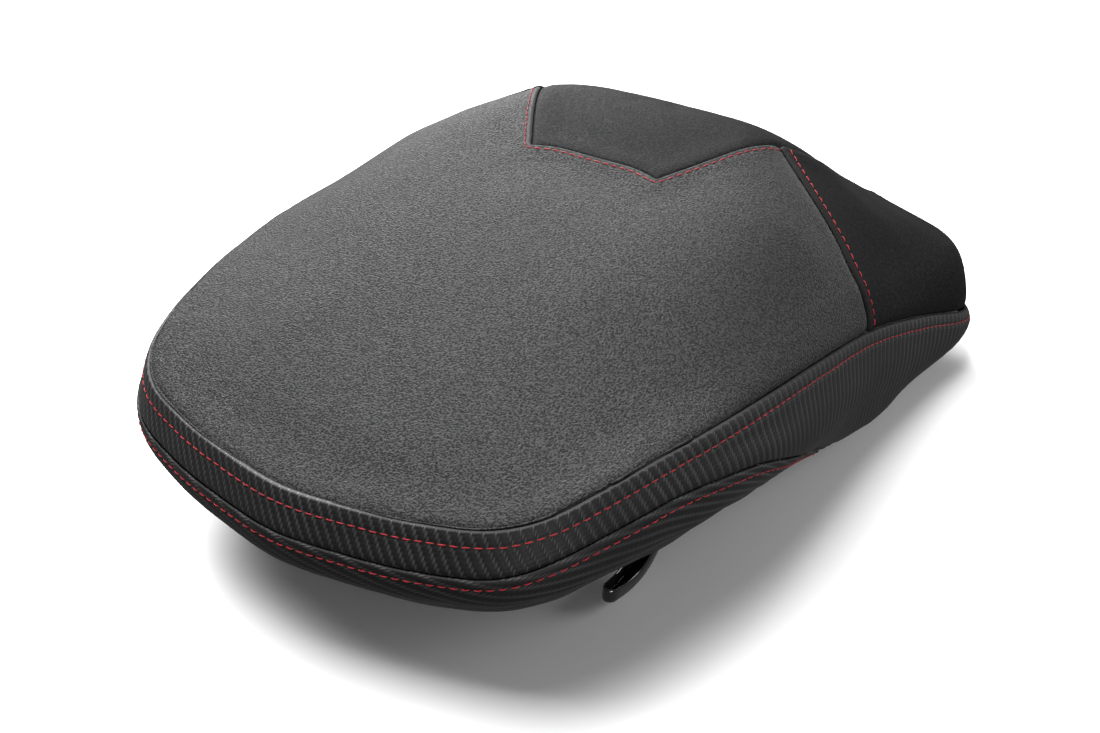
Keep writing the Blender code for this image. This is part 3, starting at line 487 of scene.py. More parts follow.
def top_mesh(plans):
    """Plan points, faces and seam edges of the whole top, cut along its seams."""
    seams = [plans[k] for k in ("nose", "front_right", "front_left", "wing_right", "wing_left")]
    rows = [offset_rows(plans["rim"], NEIGHBOUR_ROWS, closed=True)]
    both = [-d for d in OWNER_ROWS] + list(OWNER_ROWS)
    rows += [offset_rows(s, both) for s in seams]
    steps = np.arange(-70, 71)
    row_height = TOP_GRID * math.sqrt(3) / 2
    grid = [((i + 0.5 * (j % 2)) * TOP_GRID, j * row_height) for j in steps for i in steps]
    rows.append(np.array(grid))
    candidates = np.concatenate(rows)
    kinds = np.concatenate([np.full(len(r), k) for k, r in enumerate(rows)])

    lines = [np.concatenate([plans["rim"], plans["rim"][:1]])] + seams
    tree = kd_tree(np.concatenate([along(s, PATH_STEP) for s in lines]))
    radius = np.hypot(*candidates.T)
    edge = np.array([math.hypot(*flattened_rim(rim_point(math.atan2(v, u))))
                     for u, v in candidates])
    near = np.array([tree.find(Vector((u, v, 0.0)))[2] for u, v in candidates])
    room = np.where(kinds == len(rows) - 1, 0.0092, 0.00035)
    room = np.where(kinds == 0, 0.00045, room)
    candidates = candidates[(radius < edge - 0.0004) & (near > room)]
    near = near[(radius < edge - 0.0004) & (near > room)]

    cells = {}
    kept = []
    for p, d in zip(candidates, near):
        space = min(0.0021, 0.00035 + 0.18 * d) * 0.75
        size = 0.0016
        cell = (int(p[0] // size), int(p[1] // size))
        around = (q for a in (-1, 0, 1) for b in (-1, 0, 1)
                  for q in cells.get((cell[0] + a, cell[1] + b), ()))
        if all(math.dist(p, q) > space for q in around):
            kept.append(Vector(p))
            cells.setdefault(cell, []).append(p)

    points = [Vector(p) for p in plans["rim"]]
    edges = [(i, (i + 1) % COLUMNS) for i in range(COLUMNS)]
    for line in seams:
        indices = []
        for p in line:
            index = next((k for k, q in enumerate(points) if (q - Vector(p)).length < 1e-6), None)
            if index is None:
                points.append(Vector(p))
                index = len(points) - 1
            indices.append(index)
        edges += list(zip(indices, indices[1:]))
    points += kept
    plan, cut, faces, _, origin, _ = delaunay_2d_cdt(points, edges, [list(range(COLUMNS))], 1, 1e-7)
    fixed = {tuple(sorted(e)) for e, source in zip(cut, origin) if source}
    return np.array([tuple(p) for p in plan]), [tuple(f) for f in faces], fixed


def components(faces, fixed):
    """Groups of faces that join without crossing a fixed edge."""
    by_edge = {}
    for k, face in enumerate(faces):
        for a, b in zip(face, face[1:] + face[:1]):
            by_edge.setdefault((min(a, b), max(a, b)), []).append(k)
    links = [[] for _ in faces]
    for edge, pair in by_edge.items():
        if len(pair) == 2 and edge not in fixed:
            links[pair[0]].append(pair[1])
            links[pair[1]].append(pair[0])
    group = [-1] * len(faces)
    count = 0
    for start in range(len(faces)):
        if group[start] >= 0:
            continue
        group[start] = count
        stack = [start]
        while stack:
            for k in links[stack.pop()]:
                if group[k] < 0:
                    group[k] = count
                    stack.append(k)
        count += 1
    return np.array(group), count


def normals_of(places, faces):
    tri = np.array([f[:3] for f in faces])
    cross = np.cross(places[tri[:, 1]] - places[tri[:, 0]], places[tri[:, 2]] - places[tri[:, 0]])
    out = np.zeros_like(places)
    for k in range(3):
        np.add.at(out, tri[:, k], cross)
    return out / np.maximum(np.linalg.norm(out, axis=1), 1e-12)[:, None]


# ---- pieces ----

def mesh_object(name, places, faces, finish, angle=60):
    mesh = bpy.data.meshes.new(name)
    mesh.from_pydata([tuple(p) for p in places], [], [tuple(int(i) for i in f) for f in faces])
    mesh.validate()
    mesh.shade_smooth()
    mesh.set_sharp_from_angle(angle=math.radians(angle))
    obj = bpy.data.objects.new(name, mesh)
    bpy.context.scene.collection.objects.link(obj)
    mesh.materials.append(finish)
    return obj


def painted_highlight_share(distance, width):
    """1 on the folded strip beside a seam, 0 past its width: the mask where a highlight is painted
    lighter.
    """
    return np.clip((width - distance) / 0.0005, 0.0, 1.0)


def sheet_object(name, places, faces, finish, painted_fold_highlight, pattern=None):
    """A panel of the cover: its outer face, given the cover's thickness towards the inside."""
    used = np.unique(np.array([i for f in faces for i in f]))
    index = {int(v): k for k, v in enumerate(used)}
    obj = mesh_object(name, places[used], [[index[i] for i in f] for f in faces], finish, 75)
    # Mask of the folded strip beside the seams, where the materials paint a highlight.
    attribute = obj.data.attributes.new("painted_fold_highlight", "FLOAT", "POINT")
    attribute.data.foreach_set("value", painted_fold_highlight[used].astype(np.float32))
    if pattern is not None:
        attribute = obj.data.attributes.new("pattern", "FLOAT_VECTOR", "POINT")
        attribute.data.foreach_set("vector", pattern[used].astype(np.float32).ravel())
    thickness = obj.modifiers.new("thickness", "SOLIDIFY")
    thickness.thickness = SHEET
    thickness.offset = -1.0
    return obj


def placed(obj, slot, *nodes):
    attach(obj, "root")
    if nodes:
        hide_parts(*nodes)
    return obj


def stitch_run(name, path, target):
    """A run of topstitches lying on a surface along a path."""
    tree = BVHTree.FromPolygons([v.co for v in target.data.vertices],
                                [p.vertices for p in target.data.polygons])
    dense = along(path, PATH_STEP)
    length = (len(dense) - 1) * PATH_STEP
    count = int(length / STITCH_PITCH)
    spare = length - count * STITCH_PITCH
    sides = THREAD_SIDES
    rings = ((0.0, 0.45, -0.00030), (0.10, 0.85, 0.00010), (0.28, 1.0, 0.00034),
             (0.50, 1.0, 0.00040), (0.72, 1.0, 0.00034), (0.90, 0.85, 0.00010), (1.0, 0.45, -0.00030))
    places = []
    faces = []
    ply = []
    for s in range(count):
        start = spare / 2 + s * STITCH_PITCH + (STITCH_PITCH - STITCH_LENGTH) / 2
        base = len(places)
        spots = []
        for share, size, rise in rings:
            at = min((start + share * STITCH_LENGTH) / PATH_STEP, len(dense) - 1.001)
            k = int(at)
            p = Vector(dense[k] + (dense[k + 1] - dense[k]) * (at - k))
            spot, normal, _, _ = tree.find_nearest(p)
            spots.append((spot, normal, size, rise))
        for k, (spot, normal, size, rise) in enumerate(spots):
            a = spots[max(k - 1, 0)][0]
            b = spots[min(k + 1, len(spots) - 1)][0]
            forward = (b - a).normalized()
            side = forward.cross(normal).normalized()
            middle = spot + normal * rise
            for j in range(sides):
                turn = 2 * math.pi * j / sides
                places.append(middle + (side * math.cos(turn) + normal * math.sin(turn))
                              * THREAD_RADIUS * size)
                ply.append((rings[k][0] * STITCH_LENGTH, j / sides, s))
        for k in range(len(spots) - 1):
            for j in range(sides):
                a = base + k * sides + j
                b = base + k * sides + (j + 1) % sides
                faces.append((a, b, b + sides, a + sides))
        last = base + (len(spots) - 1) * sides
        faces.append(tuple(base + j for j in reversed(range(sides))))
        faces.append(tuple(last + j for j in range(sides)))
    obj = mesh_object(name, places, faces, MATERIALS["thread"], 80)
    attribute = obj.data.attributes.new("pattern", "FLOAT_VECTOR", "POINT")
    attribute.data.foreach_set("vector", np.array(ply, np.float32).ravel())
    return obj


def make_top():
    plans = seam_plans()
    plan, faces, fixed = top_mesh(plans)
    places = lift(plan)
    normals = normals_of(places, faces)
    group, count = components(faces, fixed)
    seams = {k: lift(along(np.concatenate([p, p[:1]]) if k == "rim" else p, PATH_STEP))
             for k, p in plans.items()}
    trees = {k: kd_tree(p) for k, p in seams.items()}
    wings = [k for k in plans if k.startswith(("wing", "front"))]
    looks = {
        "cover_top_panel": ("grip_panel", "suede_vinyl", {"nose": NOSE_STITCH}),
        "cover_nose_panel": ("nose_panel", "smooth_vinyl", {}),
        "cover_wing_right": ("wing_panel_right", "smooth_vinyl", dict.fromkeys(wings, WING_STITCH)),
        "cover_wing_left": ("wing_panel_left", "smooth_vinyl", dict.fromkeys(wings, WING_STITCH)),
    }
    made = {}
    for g in range(count):
        chosen = [f for f, k in zip(faces, group) if k == g]
        middle = np.mean([plan[i] for f in chosen for i in f], axis=0)
        if middle[1] < 0.05:
            node = "cover_top_panel"
        elif abs(middle[0]) < 0.02:
            node = "cover_nose_panel"
        else:
            node = "cover_wing_right" if middle[0] > 0 else "cover_wing_left"
        name, slot, owned = looks[node]
        used = np.unique(np.array([i for f in chosen for i in f]))
        rise = np.zeros(len(places))
        painted_fold_highlight = np.zeros(len(places))
        for seam, tree in trees.items():
            distance = nearest([Vector(p) for p in places[used]], tree)
            profile = owner_profile(owned[seam]) if seam in owned else NEIGHBOUR_PROFILE
            rise[used] += heights(profile, distance)
            # Painted highlight along the folded strip beside each seam that the panel owns.
            if seam in owned:
                painted_fold_highlight[used] = np.maximum(painted_fold_highlight[used], painted_highlight_share(distance, owned[seam] - 0.0008))
        shaped = places + normals * np.maximum(rise, -GROOVE_DEPTH)[:, None] + puff_at(places, used)
        panel = sheet_object(name, shaped, chosen, MATERIALS[slot], painted_fold_highlight)
        made[node] = placed(panel, slot, node)
    return plans, made


def seam_distance(point, line):
    """Distance down the wall from the top seam to the lower seam; past its end, to the hem."""
    run = distance_along(line)
    share = lower_seam_share(point, line)
    start = LOWER_SEAM_DROP[-1][0]
    if point[1] > start:
        t = min((point[1] - start) / (LOWER_SEAM_END_Y - start), 1.0)
        share = TURN_SHARE + (1 - TURN_SHARE) * t * t * (3 - 2 * t)
    return share * run[-1], run[-1]


def wall_rows(split, total):
    """Distances down the wall of the band's rows and of the lower panel's rows."""
    head = (0.0, 0.0004, 0.0009, 0.0015, 0.0024, 0.0036, 0.0050, 0.0062, 0.0072, 0.0082, 0.0095,
            0.0115)
    tail = (0.0060, 0.0038, 0.0022, 0.0012, 0.0005, 0.0)
    low, high = head[-1], split - tail[0]
    middle = [low + (high - low) * k / 10 for k in range(1, 10)]
    band = [*head, *middle, *(split - t for t in tail)]
    room = total - split
    squeeze = min(1.0, room / 0.020)
    top = [d * squeeze for d in (0.0, 0.0004, 0.0009, 0.0015, 0.0025, 0.0035, 0.0045, 0.0055,
                                 0.0072, 0.0095)]
    lower = top + [top[-1] + (room - top[-1]) * k / 10 for k in range(1, 11)]
    return band, lower


def wall_columns():
    """Each column's top seam point, section, distance to the lower seam and length."""
    loop = resample(DENSE_OUTLINE, COLUMNS)
    for k in range(-(COLUMNS // 2), COLUMNS // 2 + 1):
        point = loop[k % COLUMNS]
        line = wall_polyline(point)
        yield point, line, *seam_distance(point, line)


def make_wall():
    loop = resample(DENSE_OUTLINE, COLUMNS)
    perimeter = sum(math.dist(a, b) for a, b in zip(loop, loop[1:] + loop[:1]))
    places, pattern, rise = ({"band": [], "lower": []} for _ in range(3))
    open_column = []
    for k, (point, line, split, total) in enumerate(wall_columns(), -(COLUMNS // 2)):
        band, lower = wall_rows(split, total)
        a = perimeter * k / COLUMNS
        turn = table(TWILL_LEAN, point[1])
        for d in band:
            places["band"].append(polyline_point(line, d / total))
            pattern["band"].append(((a + turn * d) / TWILL_WIDTH, d / TWILL_LENGTH, a))
            rise["band"].append((d, split - d if split < total - 1e-6 else 1.0, 1.0))
        for d in lower:
            places["lower"].append(polyline_point(line, (split + d) / total))
            pattern["lower"].append(((d + LOWER_TWILL_LEAN * a) / TWILL_WIDTH, a / TWILL_LENGTH, a))
            rise["lower"].append((d, 1.0, LOWER_FOLD_RISE * min(1.0, (total - split) / 0.012)))
        open_column.append(total - split > LOWER_PANEL_LEAST)
    made = {}
    for part, name, slot_node, stitch in (("band", "side_band", "cover_side_band", TOP_STITCH),
                                          ("lower", "lower_panel", "cover_lower_panel", LOWER_STITCH)):
        base = np.array([tuple(p) for p in places[part]])
        rows = len(base) // (COLUMNS + 1)
        faces = []
        for c in range(COLUMNS):
            if part == "lower" and not (open_column[c] and open_column[c + 1]):
                continue
            for j in range(rows - 1):
                i = c * rows + j
                faces.append((i, i + 1, i + rows + 1, i + rows))
        normals = normals_of(base, [f[:3] for f in faces] + [(f[0], f[2], f[3]) for f in faces])
        near, far, size = np.array(rise[part]).T
        height = heights(owner_profile(stitch), near) * size + heights(NEIGHBOUR_PROFILE, far)
        used = np.unique(np.array(faces))
        shaped = base + normals * np.maximum(height, -GROOVE_DEPTH)[:, None] + puff_at(base, used)
        # Painted highlight on the band's folded strip below the top seam; the lower panel gets none.
        painted_fold_highlight = painted_highlight_share(near, BAND_PAINTED_HIGHLIGHT_WIDTH if part == "band" else 0.0)
        panel = sheet_object(name, shaped, faces, MATERIALS["carbon_vinyl"], painted_fold_highlight,
                             np.array(pattern[part]))
        made[slot_node] = placed(panel, "carbon_vinyl", slot_node)
    return made


def wall_path(stitch, from_lower):
    """A path at a distance below the top seam or the lower seam, from front to front."""
    out = []
    for _, line, split, total in wall_columns():
        distance = stitch + (split if from_lower else 0.0)
        if from_lower and total - split < 0.014:
            continue
        out.append(tuple(polyline_point(line, distance / total)))
    return out


def make_stitches(plans, panels):
    side = panels["cover_side_band"]
    lower = panels["cover_lower_panel"]
    grip = panels["cover_top_panel"]
    runs = [("stitches_top_seam", wall_path(TOP_STITCH, False), side),
            ("stitches_lower_seam", wall_path(LOWER_STITCH, True), lower),
            ("stitches_nose_seam", lift(offset_rows(plans["nose"], (-NOSE_STITCH,))), grip)]
    for label, sign in (("right", 1), ("left", -1)):
        row = offset_rows(plans["wing_" + label], (sign * WING_STITCH,))
        keep = [p for p in row if math.hypot(*p) < math.hypot(*flattened_rim(
            rim_point(math.atan2(p[1], p[0])))) - 0.0015]
        runs.append(("stitches_wing_" + label, lift(keep), panels["cover_wing_" + label]))
    for name, path, target in runs:
        slot = ("smooth_vinyl" if "wing" in name
                else "suede_vinyl" if "nose" in name else "carbon_vinyl")
        placed(stitch_run(name, path, target), slot)


# ---- padding ----

FOAM_VOXEL = 0.0055
FOAM_SHRINK = 0.0010
FOAM_SEAM_SHRINK = 0.0020
SEAM_SHRINK_WIDTH = 0.006
SWELL_CAP = 0.0018
SWELL_PRESSURE = 4.0
SWELL_FRAMES = 20
PIN_WIDTH = 0.0075
# Foam that faces down more steeply than this rests on the pan and is pinned.
PINNED_FACING = -0.25
SEAM_FADE = 0.028
SWELL = {}


def seam_lines():
    """Points on every seam and along the hem, in space."""
    plans = seam_plans()
    lines = [lift(along(np.concatenate([p, p[:1]]) if k == "rim" else p, 0.002))
             for k, p in plans.items()]
    lower, hem = [], []
    for point in resample(DENSE_OUTLINE, COLUMNS // 2):
        line = wall_polyline(point)
        split, total = seam_distance(point, line)
        lower.append(tuple(polyline_point(line, split / total)))
        hem.append(tuple(polyline_point(line, 1.0)))
    return np.concatenate(lines + [np.array(lower), np.array(hem)])


def vertex_array(mesh, field, width=3):
    out = np.empty(len(mesh.vertices) * width, np.float32)
    mesh.vertices.foreach_get(field, out)
    return out.reshape(-1, width).astype(float)


def evaluated_copy(obj, name):
    """A new mesh with an object's modifiers applied."""
    graph = bpy.context.evaluated_depsgraph_get()
    mesh = bpy.data.meshes.new_from_object(obj.evaluated_get(graph), depsgraph=graph)
    mesh.name = name
    return mesh


def make_foam():
    """The foam cushion: swollen by a cloth simulation, held in along the seams and on the pan."""
    source = frame["nodes"]["foam_core"]
    foam = bpy.data.objects.new("foam_cushion", source.data.copy())
    bpy.context.scene.collection.objects.link(foam)
    remesh = foam.modifiers.new("remesh", "REMESH")
    remesh.mode = "VOXEL"
    remesh.voxel_size = FOAM_VOXEL
    mesh = evaluated_copy(foam, "foam_cushion")
    foam.modifiers.clear()
    foam.data = mesh

    base = vertex_array(mesh, "co")
    normals = np.array([v.normal for v in mesh.vertices])
    tree = kd_tree(seam_lines())
    distance = nearest([Vector(p) for p in base], tree)
    shrink = FOAM_SHRINK + FOAM_SEAM_SHRINK * np.exp(-(distance / SEAM_SHRINK_WIDTH) ** 2)
    start = base - normals * shrink[:, None]
    mesh.vertices.foreach_set("co", start.astype(np.float32).ravel())
    move = np.zeros_like(start)
    held = (normals[:, 2] < PINNED_FACING) | (distance < PIN_WIDTH)
    pins = foam.vertex_groups.new(name="held")
    pins.add([int(i) for i in np.flatnonzero(held)], 1.0, "REPLACE")
    cloth = foam.modifiers.new("cloth", "CLOTH")
    cloth.settings.vertex_group_mass = "held"
    cloth.settings.use_pressure = True
    cloth.settings.uniform_pressure_force = SWELL_PRESSURE
    cloth.settings.effector_weights.gravity = 0.0
    cloth.settings.quality = 4
    cloth.point_cache.frame_start = 1
    cloth.point_cache.frame_end = SWELL_FRAMES
    for step in range(1, SWELL_FRAMES + 1):
        bpy.context.scene.frame_set(step)
    moved = evaluated_copy(foam, "foam_moved")
    swell = vertex_array(moved, "co") - start
    bpy.data.meshes.remove(moved)
    foam.modifiers.clear()
    foam.vertex_groups.clear()
    bpy.context.scene.frame_set(1)
    size = np.linalg.norm(swell, axis=1)
    swell *= np.minimum(1.0, SWELL_CAP / np.maximum(size, 1e-9))[:, None]
    mesh.vertices.foreach_set("co", (start + swell).astype(np.float32).ravel())
    move = swell - normals * np.where(held, 0.0, FOAM_SHRINK)[:, None]
    mesh.update()
    mesh.shade_smooth()
    mesh.materials.clear()
    mesh.materials.append(MATERIALS["foam"])
    smooth = foam.modifiers.new("subdivision", "SUBSURF")
    smooth.levels = smooth.render_levels = 1
    placed(foam, "foam", "foam_core")
    SWELL["tree"] = kd_tree(base)
    SWELL["move"] = move
    SWELL["seams"] = tree
    return foam


def puff_at(places, used):
    """How far the swollen foam moves the cover at each place."""
    out = np.zeros_like(places)
    for i in used:
        place = Vector(places[i])
        near = SWELL["tree"].find_n(place, 5)
        weights = np.array([1.0 / (d + 0.001) ** 2 for _, _, d in near])
        move = sum(w * SWELL["move"][k] for w, (_, k, _) in zip(weights, near)) / weights.sum()
        share = min(1.0, SWELL["seams"].find(place)[2] / SEAM_FADE)
        out[i] = move * (share * share * (3 - 2 * share))
    return out


# ---- materials ----

TWILL_WIDTH = 0.00120
TWILL_LENGTH = 0.00210
MATERIALS = {}


def grey(level, blue=None):
    """A nearly neutral colour, with its own blue where that differs."""
    return level, level, level if blue is None else blue


class Look:
    """A Principled material that is built up node by node."""

    def __init__(self, name, **sockets):
        self.made = bpy.data.materials.new(name)
        self.made.use_nodes = True
        self.tree = self.made.node_tree
        self.shader = self.tree.nodes["Principled BSDF"]
        for key, value in sockets.items():
            self.shader.inputs[key.replace("_", " ")].default_value = value
        MATERIALS[name] = self.made
        self.place = self.node("ShaderNodeTexCoord").outputs["Object"]

    def node(self, kind, inputs=(), **settings):
        made = self.tree.nodes.new(kind)
        for key, value in settings.items():
            setattr(made, key, value)
        for key, value in dict(inputs).items():
            if isinstance(value, bpy.types.NodeSocket):
                self.tree.links.new(value, made.inputs[key])
            else:
                made.inputs[key].default_value = value
        return made

    def math(self, operation, a, b=0.0, clamp=False):
        made = self.node("ShaderNodeMath", {0: a, 1: b}, operation=operation, use_clamp=clamp)
        return made.outputs[0]

    def times(self, a, b, clamp=False):
        return self.math("MULTIPLY", a, b, clamp)

    def noise(self, scale, detail=2.0, roughness=0.5, vector=None):
        return self.node("ShaderNodeTexNoise", {"Vector": vector or self.place, "Scale": scale,
                                                "Detail": detail, "Roughness": roughness}).outputs[0]

    def cells(self, scale, randomness=1.0):
        return self.node("ShaderNodeTexVoronoi", {"Vector": self.place, "Scale": scale,
                                                  "Randomness": randomness}).outputs["Distance"]

    def between(self, value, low, high, to_low, to_high):
        made = self.node("ShaderNodeMapRange", {"Value": value, "From Min": low, "From Max": high,
                                                "To Min": to_low, "To Max": to_high})
        return made.outputs["Result"]

    def blend(self, share, dark, light):
        made = self.node("ShaderNodeMix", {0: share, 6: (*dark, 1.0), 7: (*light, 1.0)},
                         data_type="RGBA")
        return made.outputs[2]

    def attribute(self, name):
        return self.node("ShaderNodeAttribute", attribute_name=name).outputs["Fac"]

    def mixed(self, share, first, second):
        made = self.node("ShaderNodeMix", {0: share, 6: first, 7: second}, data_type="RGBA")
        return made.outputs[2]

    def tinted(self, colour, gain):
        """A colour made lighter or darker by a number from the surface."""
        made = self.node("ShaderNodeVectorMath", {0: colour, "Scale": gain}, operation="SCALE")
        return made.outputs[0]

    def bump(self, height, strength, distance, normal=None):
        inputs = {"Height": height, "Strength": strength, "Distance": distance}
        if normal is not None:
            inputs["Normal"] = normal
        return self.node("ShaderNodeBump", inputs).outputs[0]

    def finish(self, colour=None, roughness=None, normal=None):
        for key, value in (("Base Color", colour), ("Roughness", roughness), ("Normal", normal)):
            if value is not None:
                self.tree.links.new(value, self.shader.inputs[key])


def grip_vinyl():
    look = Look("suede_vinyl", Sheen_Weight=0.12, Sheen_Roughness=0.40, Specular_IOR_Level=0.26,
                Sheen_Tint=(0.80, 0.80, 0.82, 1.0))
    fine = look.noise(1080.0, 1.0, 0.50)
    pebbles = look.cells(900.0)
    large = look.noise(16.0, 3.0, 0.55)
    grain = look.math("ADD", look.times(fine, 0.75), look.times(pebbles, 0.35))
    share = look.between(grain, 0.48, 0.62, 0.0, 1.0)
    painted_fold_highlight = look.attribute("painted_fold_highlight")
    colour = look.blend(share, grey(0.0005, 0.0006), grey(0.0165, 0.0168))
    # Painted highlight: the folded strip beside the panel's own seams is painted lighter, standing in
    # for light catching the rolled edge.
    colour = look.mixed(painted_fold_highlight, colour, look.blend(share, grey(0.0150, 0.0153), grey(0.0260, 0.0264)))
    worn = look.between(large, 0.30, 0.70, 0.90, 1.10)
    depth = look.times(grain, look.between(painted_fold_highlight, 0.0, 1.0, 1.0, 0.3))
    look.finish(look.tinted(colour, worn), look.between(grain, 0.3, 0.8, 0.88, 0.58),
                look.bump(depth, 1.0, 0.00075))


def smooth_vinyl():
    look = Look("smooth_vinyl", Sheen_Weight=0.01, Sheen_Roughness=0.50, Specular_IOR_Level=0.08)
    fine = look.noise(1050.0, 2.0, 0.60)
    pores = look.cells(760.0)
    large = look.noise(22.0, 3.0, 0.5)
    grain = look.math("ADD", look.times(fine, 0.7), look.times(pores, 0.3))
    painted_fold_highlight = look.attribute("painted_fold_highlight")
    colour = look.blend(look.between(grain, 0.38, 0.62, 0.0, 1.0), grey(0.0010, 0.0011),
                        grey(0.0066, 0.0068))
    # Painted highlight: the folded strip beside the panel's own seams is painted lighter, standing in
    # for light catching the rolled edge.
    colour = look.mixed(painted_fold_highlight, colour, look.blend(grain, grey(0.0060, 0.0062), grey(0.0150, 0.0153)))
    look.finish(look.tinted(colour, look.between(large, 0.3, 0.7, 0.88, 1.12)),
                look.between(grain, 0.3, 0.7, 0.80, 0.60), look.bump(grain, 0.65, 0.00040))


def carbon_vinyl():
    """Embossed two-over-two twill: raised floats along the tows, and across them in between."""
    look = Look("carbon_vinyl", Specular_IOR_Level=0.35, Sheen_Weight=0.03)
    cloth = look.node("ShaderNodeAttribute", attribute_name="pattern")
    split = look.node("ShaderNodeSeparateXYZ", {0: cloth.outputs["Vector"]})
    x, y = split.outputs[0], split.outputs[1]
    column, row = look.math("FLOOR", x), look.math("FLOOR", y)
    quarter = math.pi / 2

    def floats(along_tow, start, across, crisp):
        rise = look.math("SINE", look.times(look.math("SUBTRACT", along_tow, start), quarter))
        rise = look.math("POWER", look.math("MAXIMUM", rise, 0.0), crisp)
        width = look.math("SINE", look.times(look.math("FRACT", across), math.pi))
        return look.times(rise, look.math("POWER", width, 0.5))

    warp = floats(y, look.math("SUBTRACT", column, 1.0), x, 1.3)
    weft = floats(x, look.math("ADD", row, 2.0), y, 0.6)
    height = look.math("MAXIMUM", warp, look.times(weft, 0.30))
    fine = look.noise(2200.0, 2.0, 0.6)
    patchy = look.noise(24.0, 2.0, 0.5)
    share = look.times(warp, look.between(patchy, 0.3, 0.7, 0.45, 1.1), clamp=True)
    painted_fold_highlight = look.attribute("painted_fold_highlight")
    colour = look.blend(share, grey(0.0022, 0.0024), grey(0.0430, 0.0442))
    # Painted highlight: a thin lighter line is painted on the band's folded top edge, standing in for
    # light catching it.
    colour = look.mixed(painted_fold_highlight, colour, look.blend(fine, grey(0.0180, 0.0184), grey(0.0360, 0.0366)))
    rough = look.math("ADD", look.between(share, 0.0, 1.0, 0.56, 0.40),
                      look.times(fine, 0.10))
    weave = look.bump(look.times(height, look.between(painted_fold_highlight, 0.0, 1.0, 1.0, 0.2)), 0.80, 0.00045)
    look.finish(colour, rough, look.bump(fine, 0.20, 0.00010, weave))


def thread():
    look = Look("thread", Specular_IOR_Level=0.35, Sheen_Weight=0.25, Sheen_Roughness=0.4,
                Sheen_Tint=(1.0, 0.45, 0.45, 1.0))
    yarn = look.node("ShaderNodeAttribute", attribute_name="pattern")
    split = look.node("ShaderNodeSeparateXYZ", {0: yarn.outputs["Vector"]})
    turns = look.math("ADD", look.times(split.outputs[0], 1700.0),
                      look.times(split.outputs[1], 3.0))
    ply = look.math("ABSOLUTE", look.math("SINE", look.times(turns, math.pi)))
    each = look.noise(3.3, 0.0, 0.5, look.node("ShaderNodeCombineXYZ", {0: split.outputs[2]}).outputs[0])
    colour = look.blend(ply, (0.14, 0.003, 0.006), (0.42, 0.014, 0.024))
    look.finish(look.tinted(colour, look.between(each, 0.3, 0.7, 0.85, 1.15)),
                look.between(ply, 0.0, 1.0, 0.70, 0.50), look.bump(ply, 0.6, 0.00012))


def foam():
    look = Look("foam", Sheen_Weight=0.15, Specular_IOR_Level=0.2)
    pores = look.cells(900.0)
    large = look.noise(12.0, 3.0, 0.6)
    colour = look.blend(look.between(pores, 0.1, 0.7, 0.0, 1.0), (0.20, 0.19, 0.16), (0.46, 0.44, 0.39))
    look.finish(look.tinted(colour, look.between(large, 0.3, 0.7, 0.85, 1.1)),
                look.between(pores, 0.0, 0.8, 0.98, 0.85), look.bump(pores, 0.8, 0.0006))


def plain(name, dark, light, scale, rough, bump, **sockets):
    """A solid-coloured material with a grain, broad unevenness and rubbed spots."""
    look = Look(name, **sockets)
    grain = look.noise(scale, 3.0, 0.6)
    broad = look.noise(18.0, 4.0, 0.6)
    rubbed = look.between(look.noise(55.0, 5.0, 0.7), 0.55, 0.75, 0.0, 1.0)
    share = look.math("ADD", look.times(grain, 0.6),
                      look.times(rubbed, 0.3), clamp=True)
    colour = look.blend(share, dark, light)
    look.finish(look.tinted(colour, look.between(broad, 0.3, 0.7, 0.88, 1.12)),
                look.between(look.math("ADD", grain, look.times(broad, 0.6)), 0.4, 1.1,
                             *rough),
                look.bump(grain, bump, 0.00025))


def make_materials():
    grip_vinyl()
    smooth_vinyl()
    carbon_vinyl()
    thread()
    foam()
    plain("pan_plastic", grey(0.014, 0.015), grey(0.032, 0.034), 1300.0, (0.62, 0.46), 0.45)
    plain("hook_plastic", grey(0.009, 0.010), grey(0.020, 0.021), 160.0, (0.10, 0.20), 0.04,
          Coat_Weight=0.6, Coat_Roughness=0.06)
    plain("rubber", grey(0.012), (0.034, 0.033, 0.032), 900.0, (0.92, 0.70), 0.40)
    plain("zinc_steel", grey(0.42, 0.43), grey(0.66, 0.68), 420.0, (0.28, 0.46), 0.12, Metallic=1.0)
    plain("black_screw", grey(0.022, 0.024), grey(0.085, 0.090), 700.0, (0.34, 0.52), 0.15,
          Metallic=0.7)


def dress_cad_nodes():
    """The rigid parts keep their CAD shapes and get the finished materials."""
    for part in frame["record"]["subparts"]:
        node = frame["nodes"][part["node"]]
        node.data.materials.clear()
        node.data.materials.append(MATERIALS[part["material_slot"]])


# ---- hooks ----

def hook_path():
    root = plate_height(HOOK_BASE_Y) - PAN_THICKNESS - HOOK_ROOT_DEPTH
    return along(spline(((HOOK_ROOT_Y, root), *HOOK_SWEEP), 12), 0.0012)


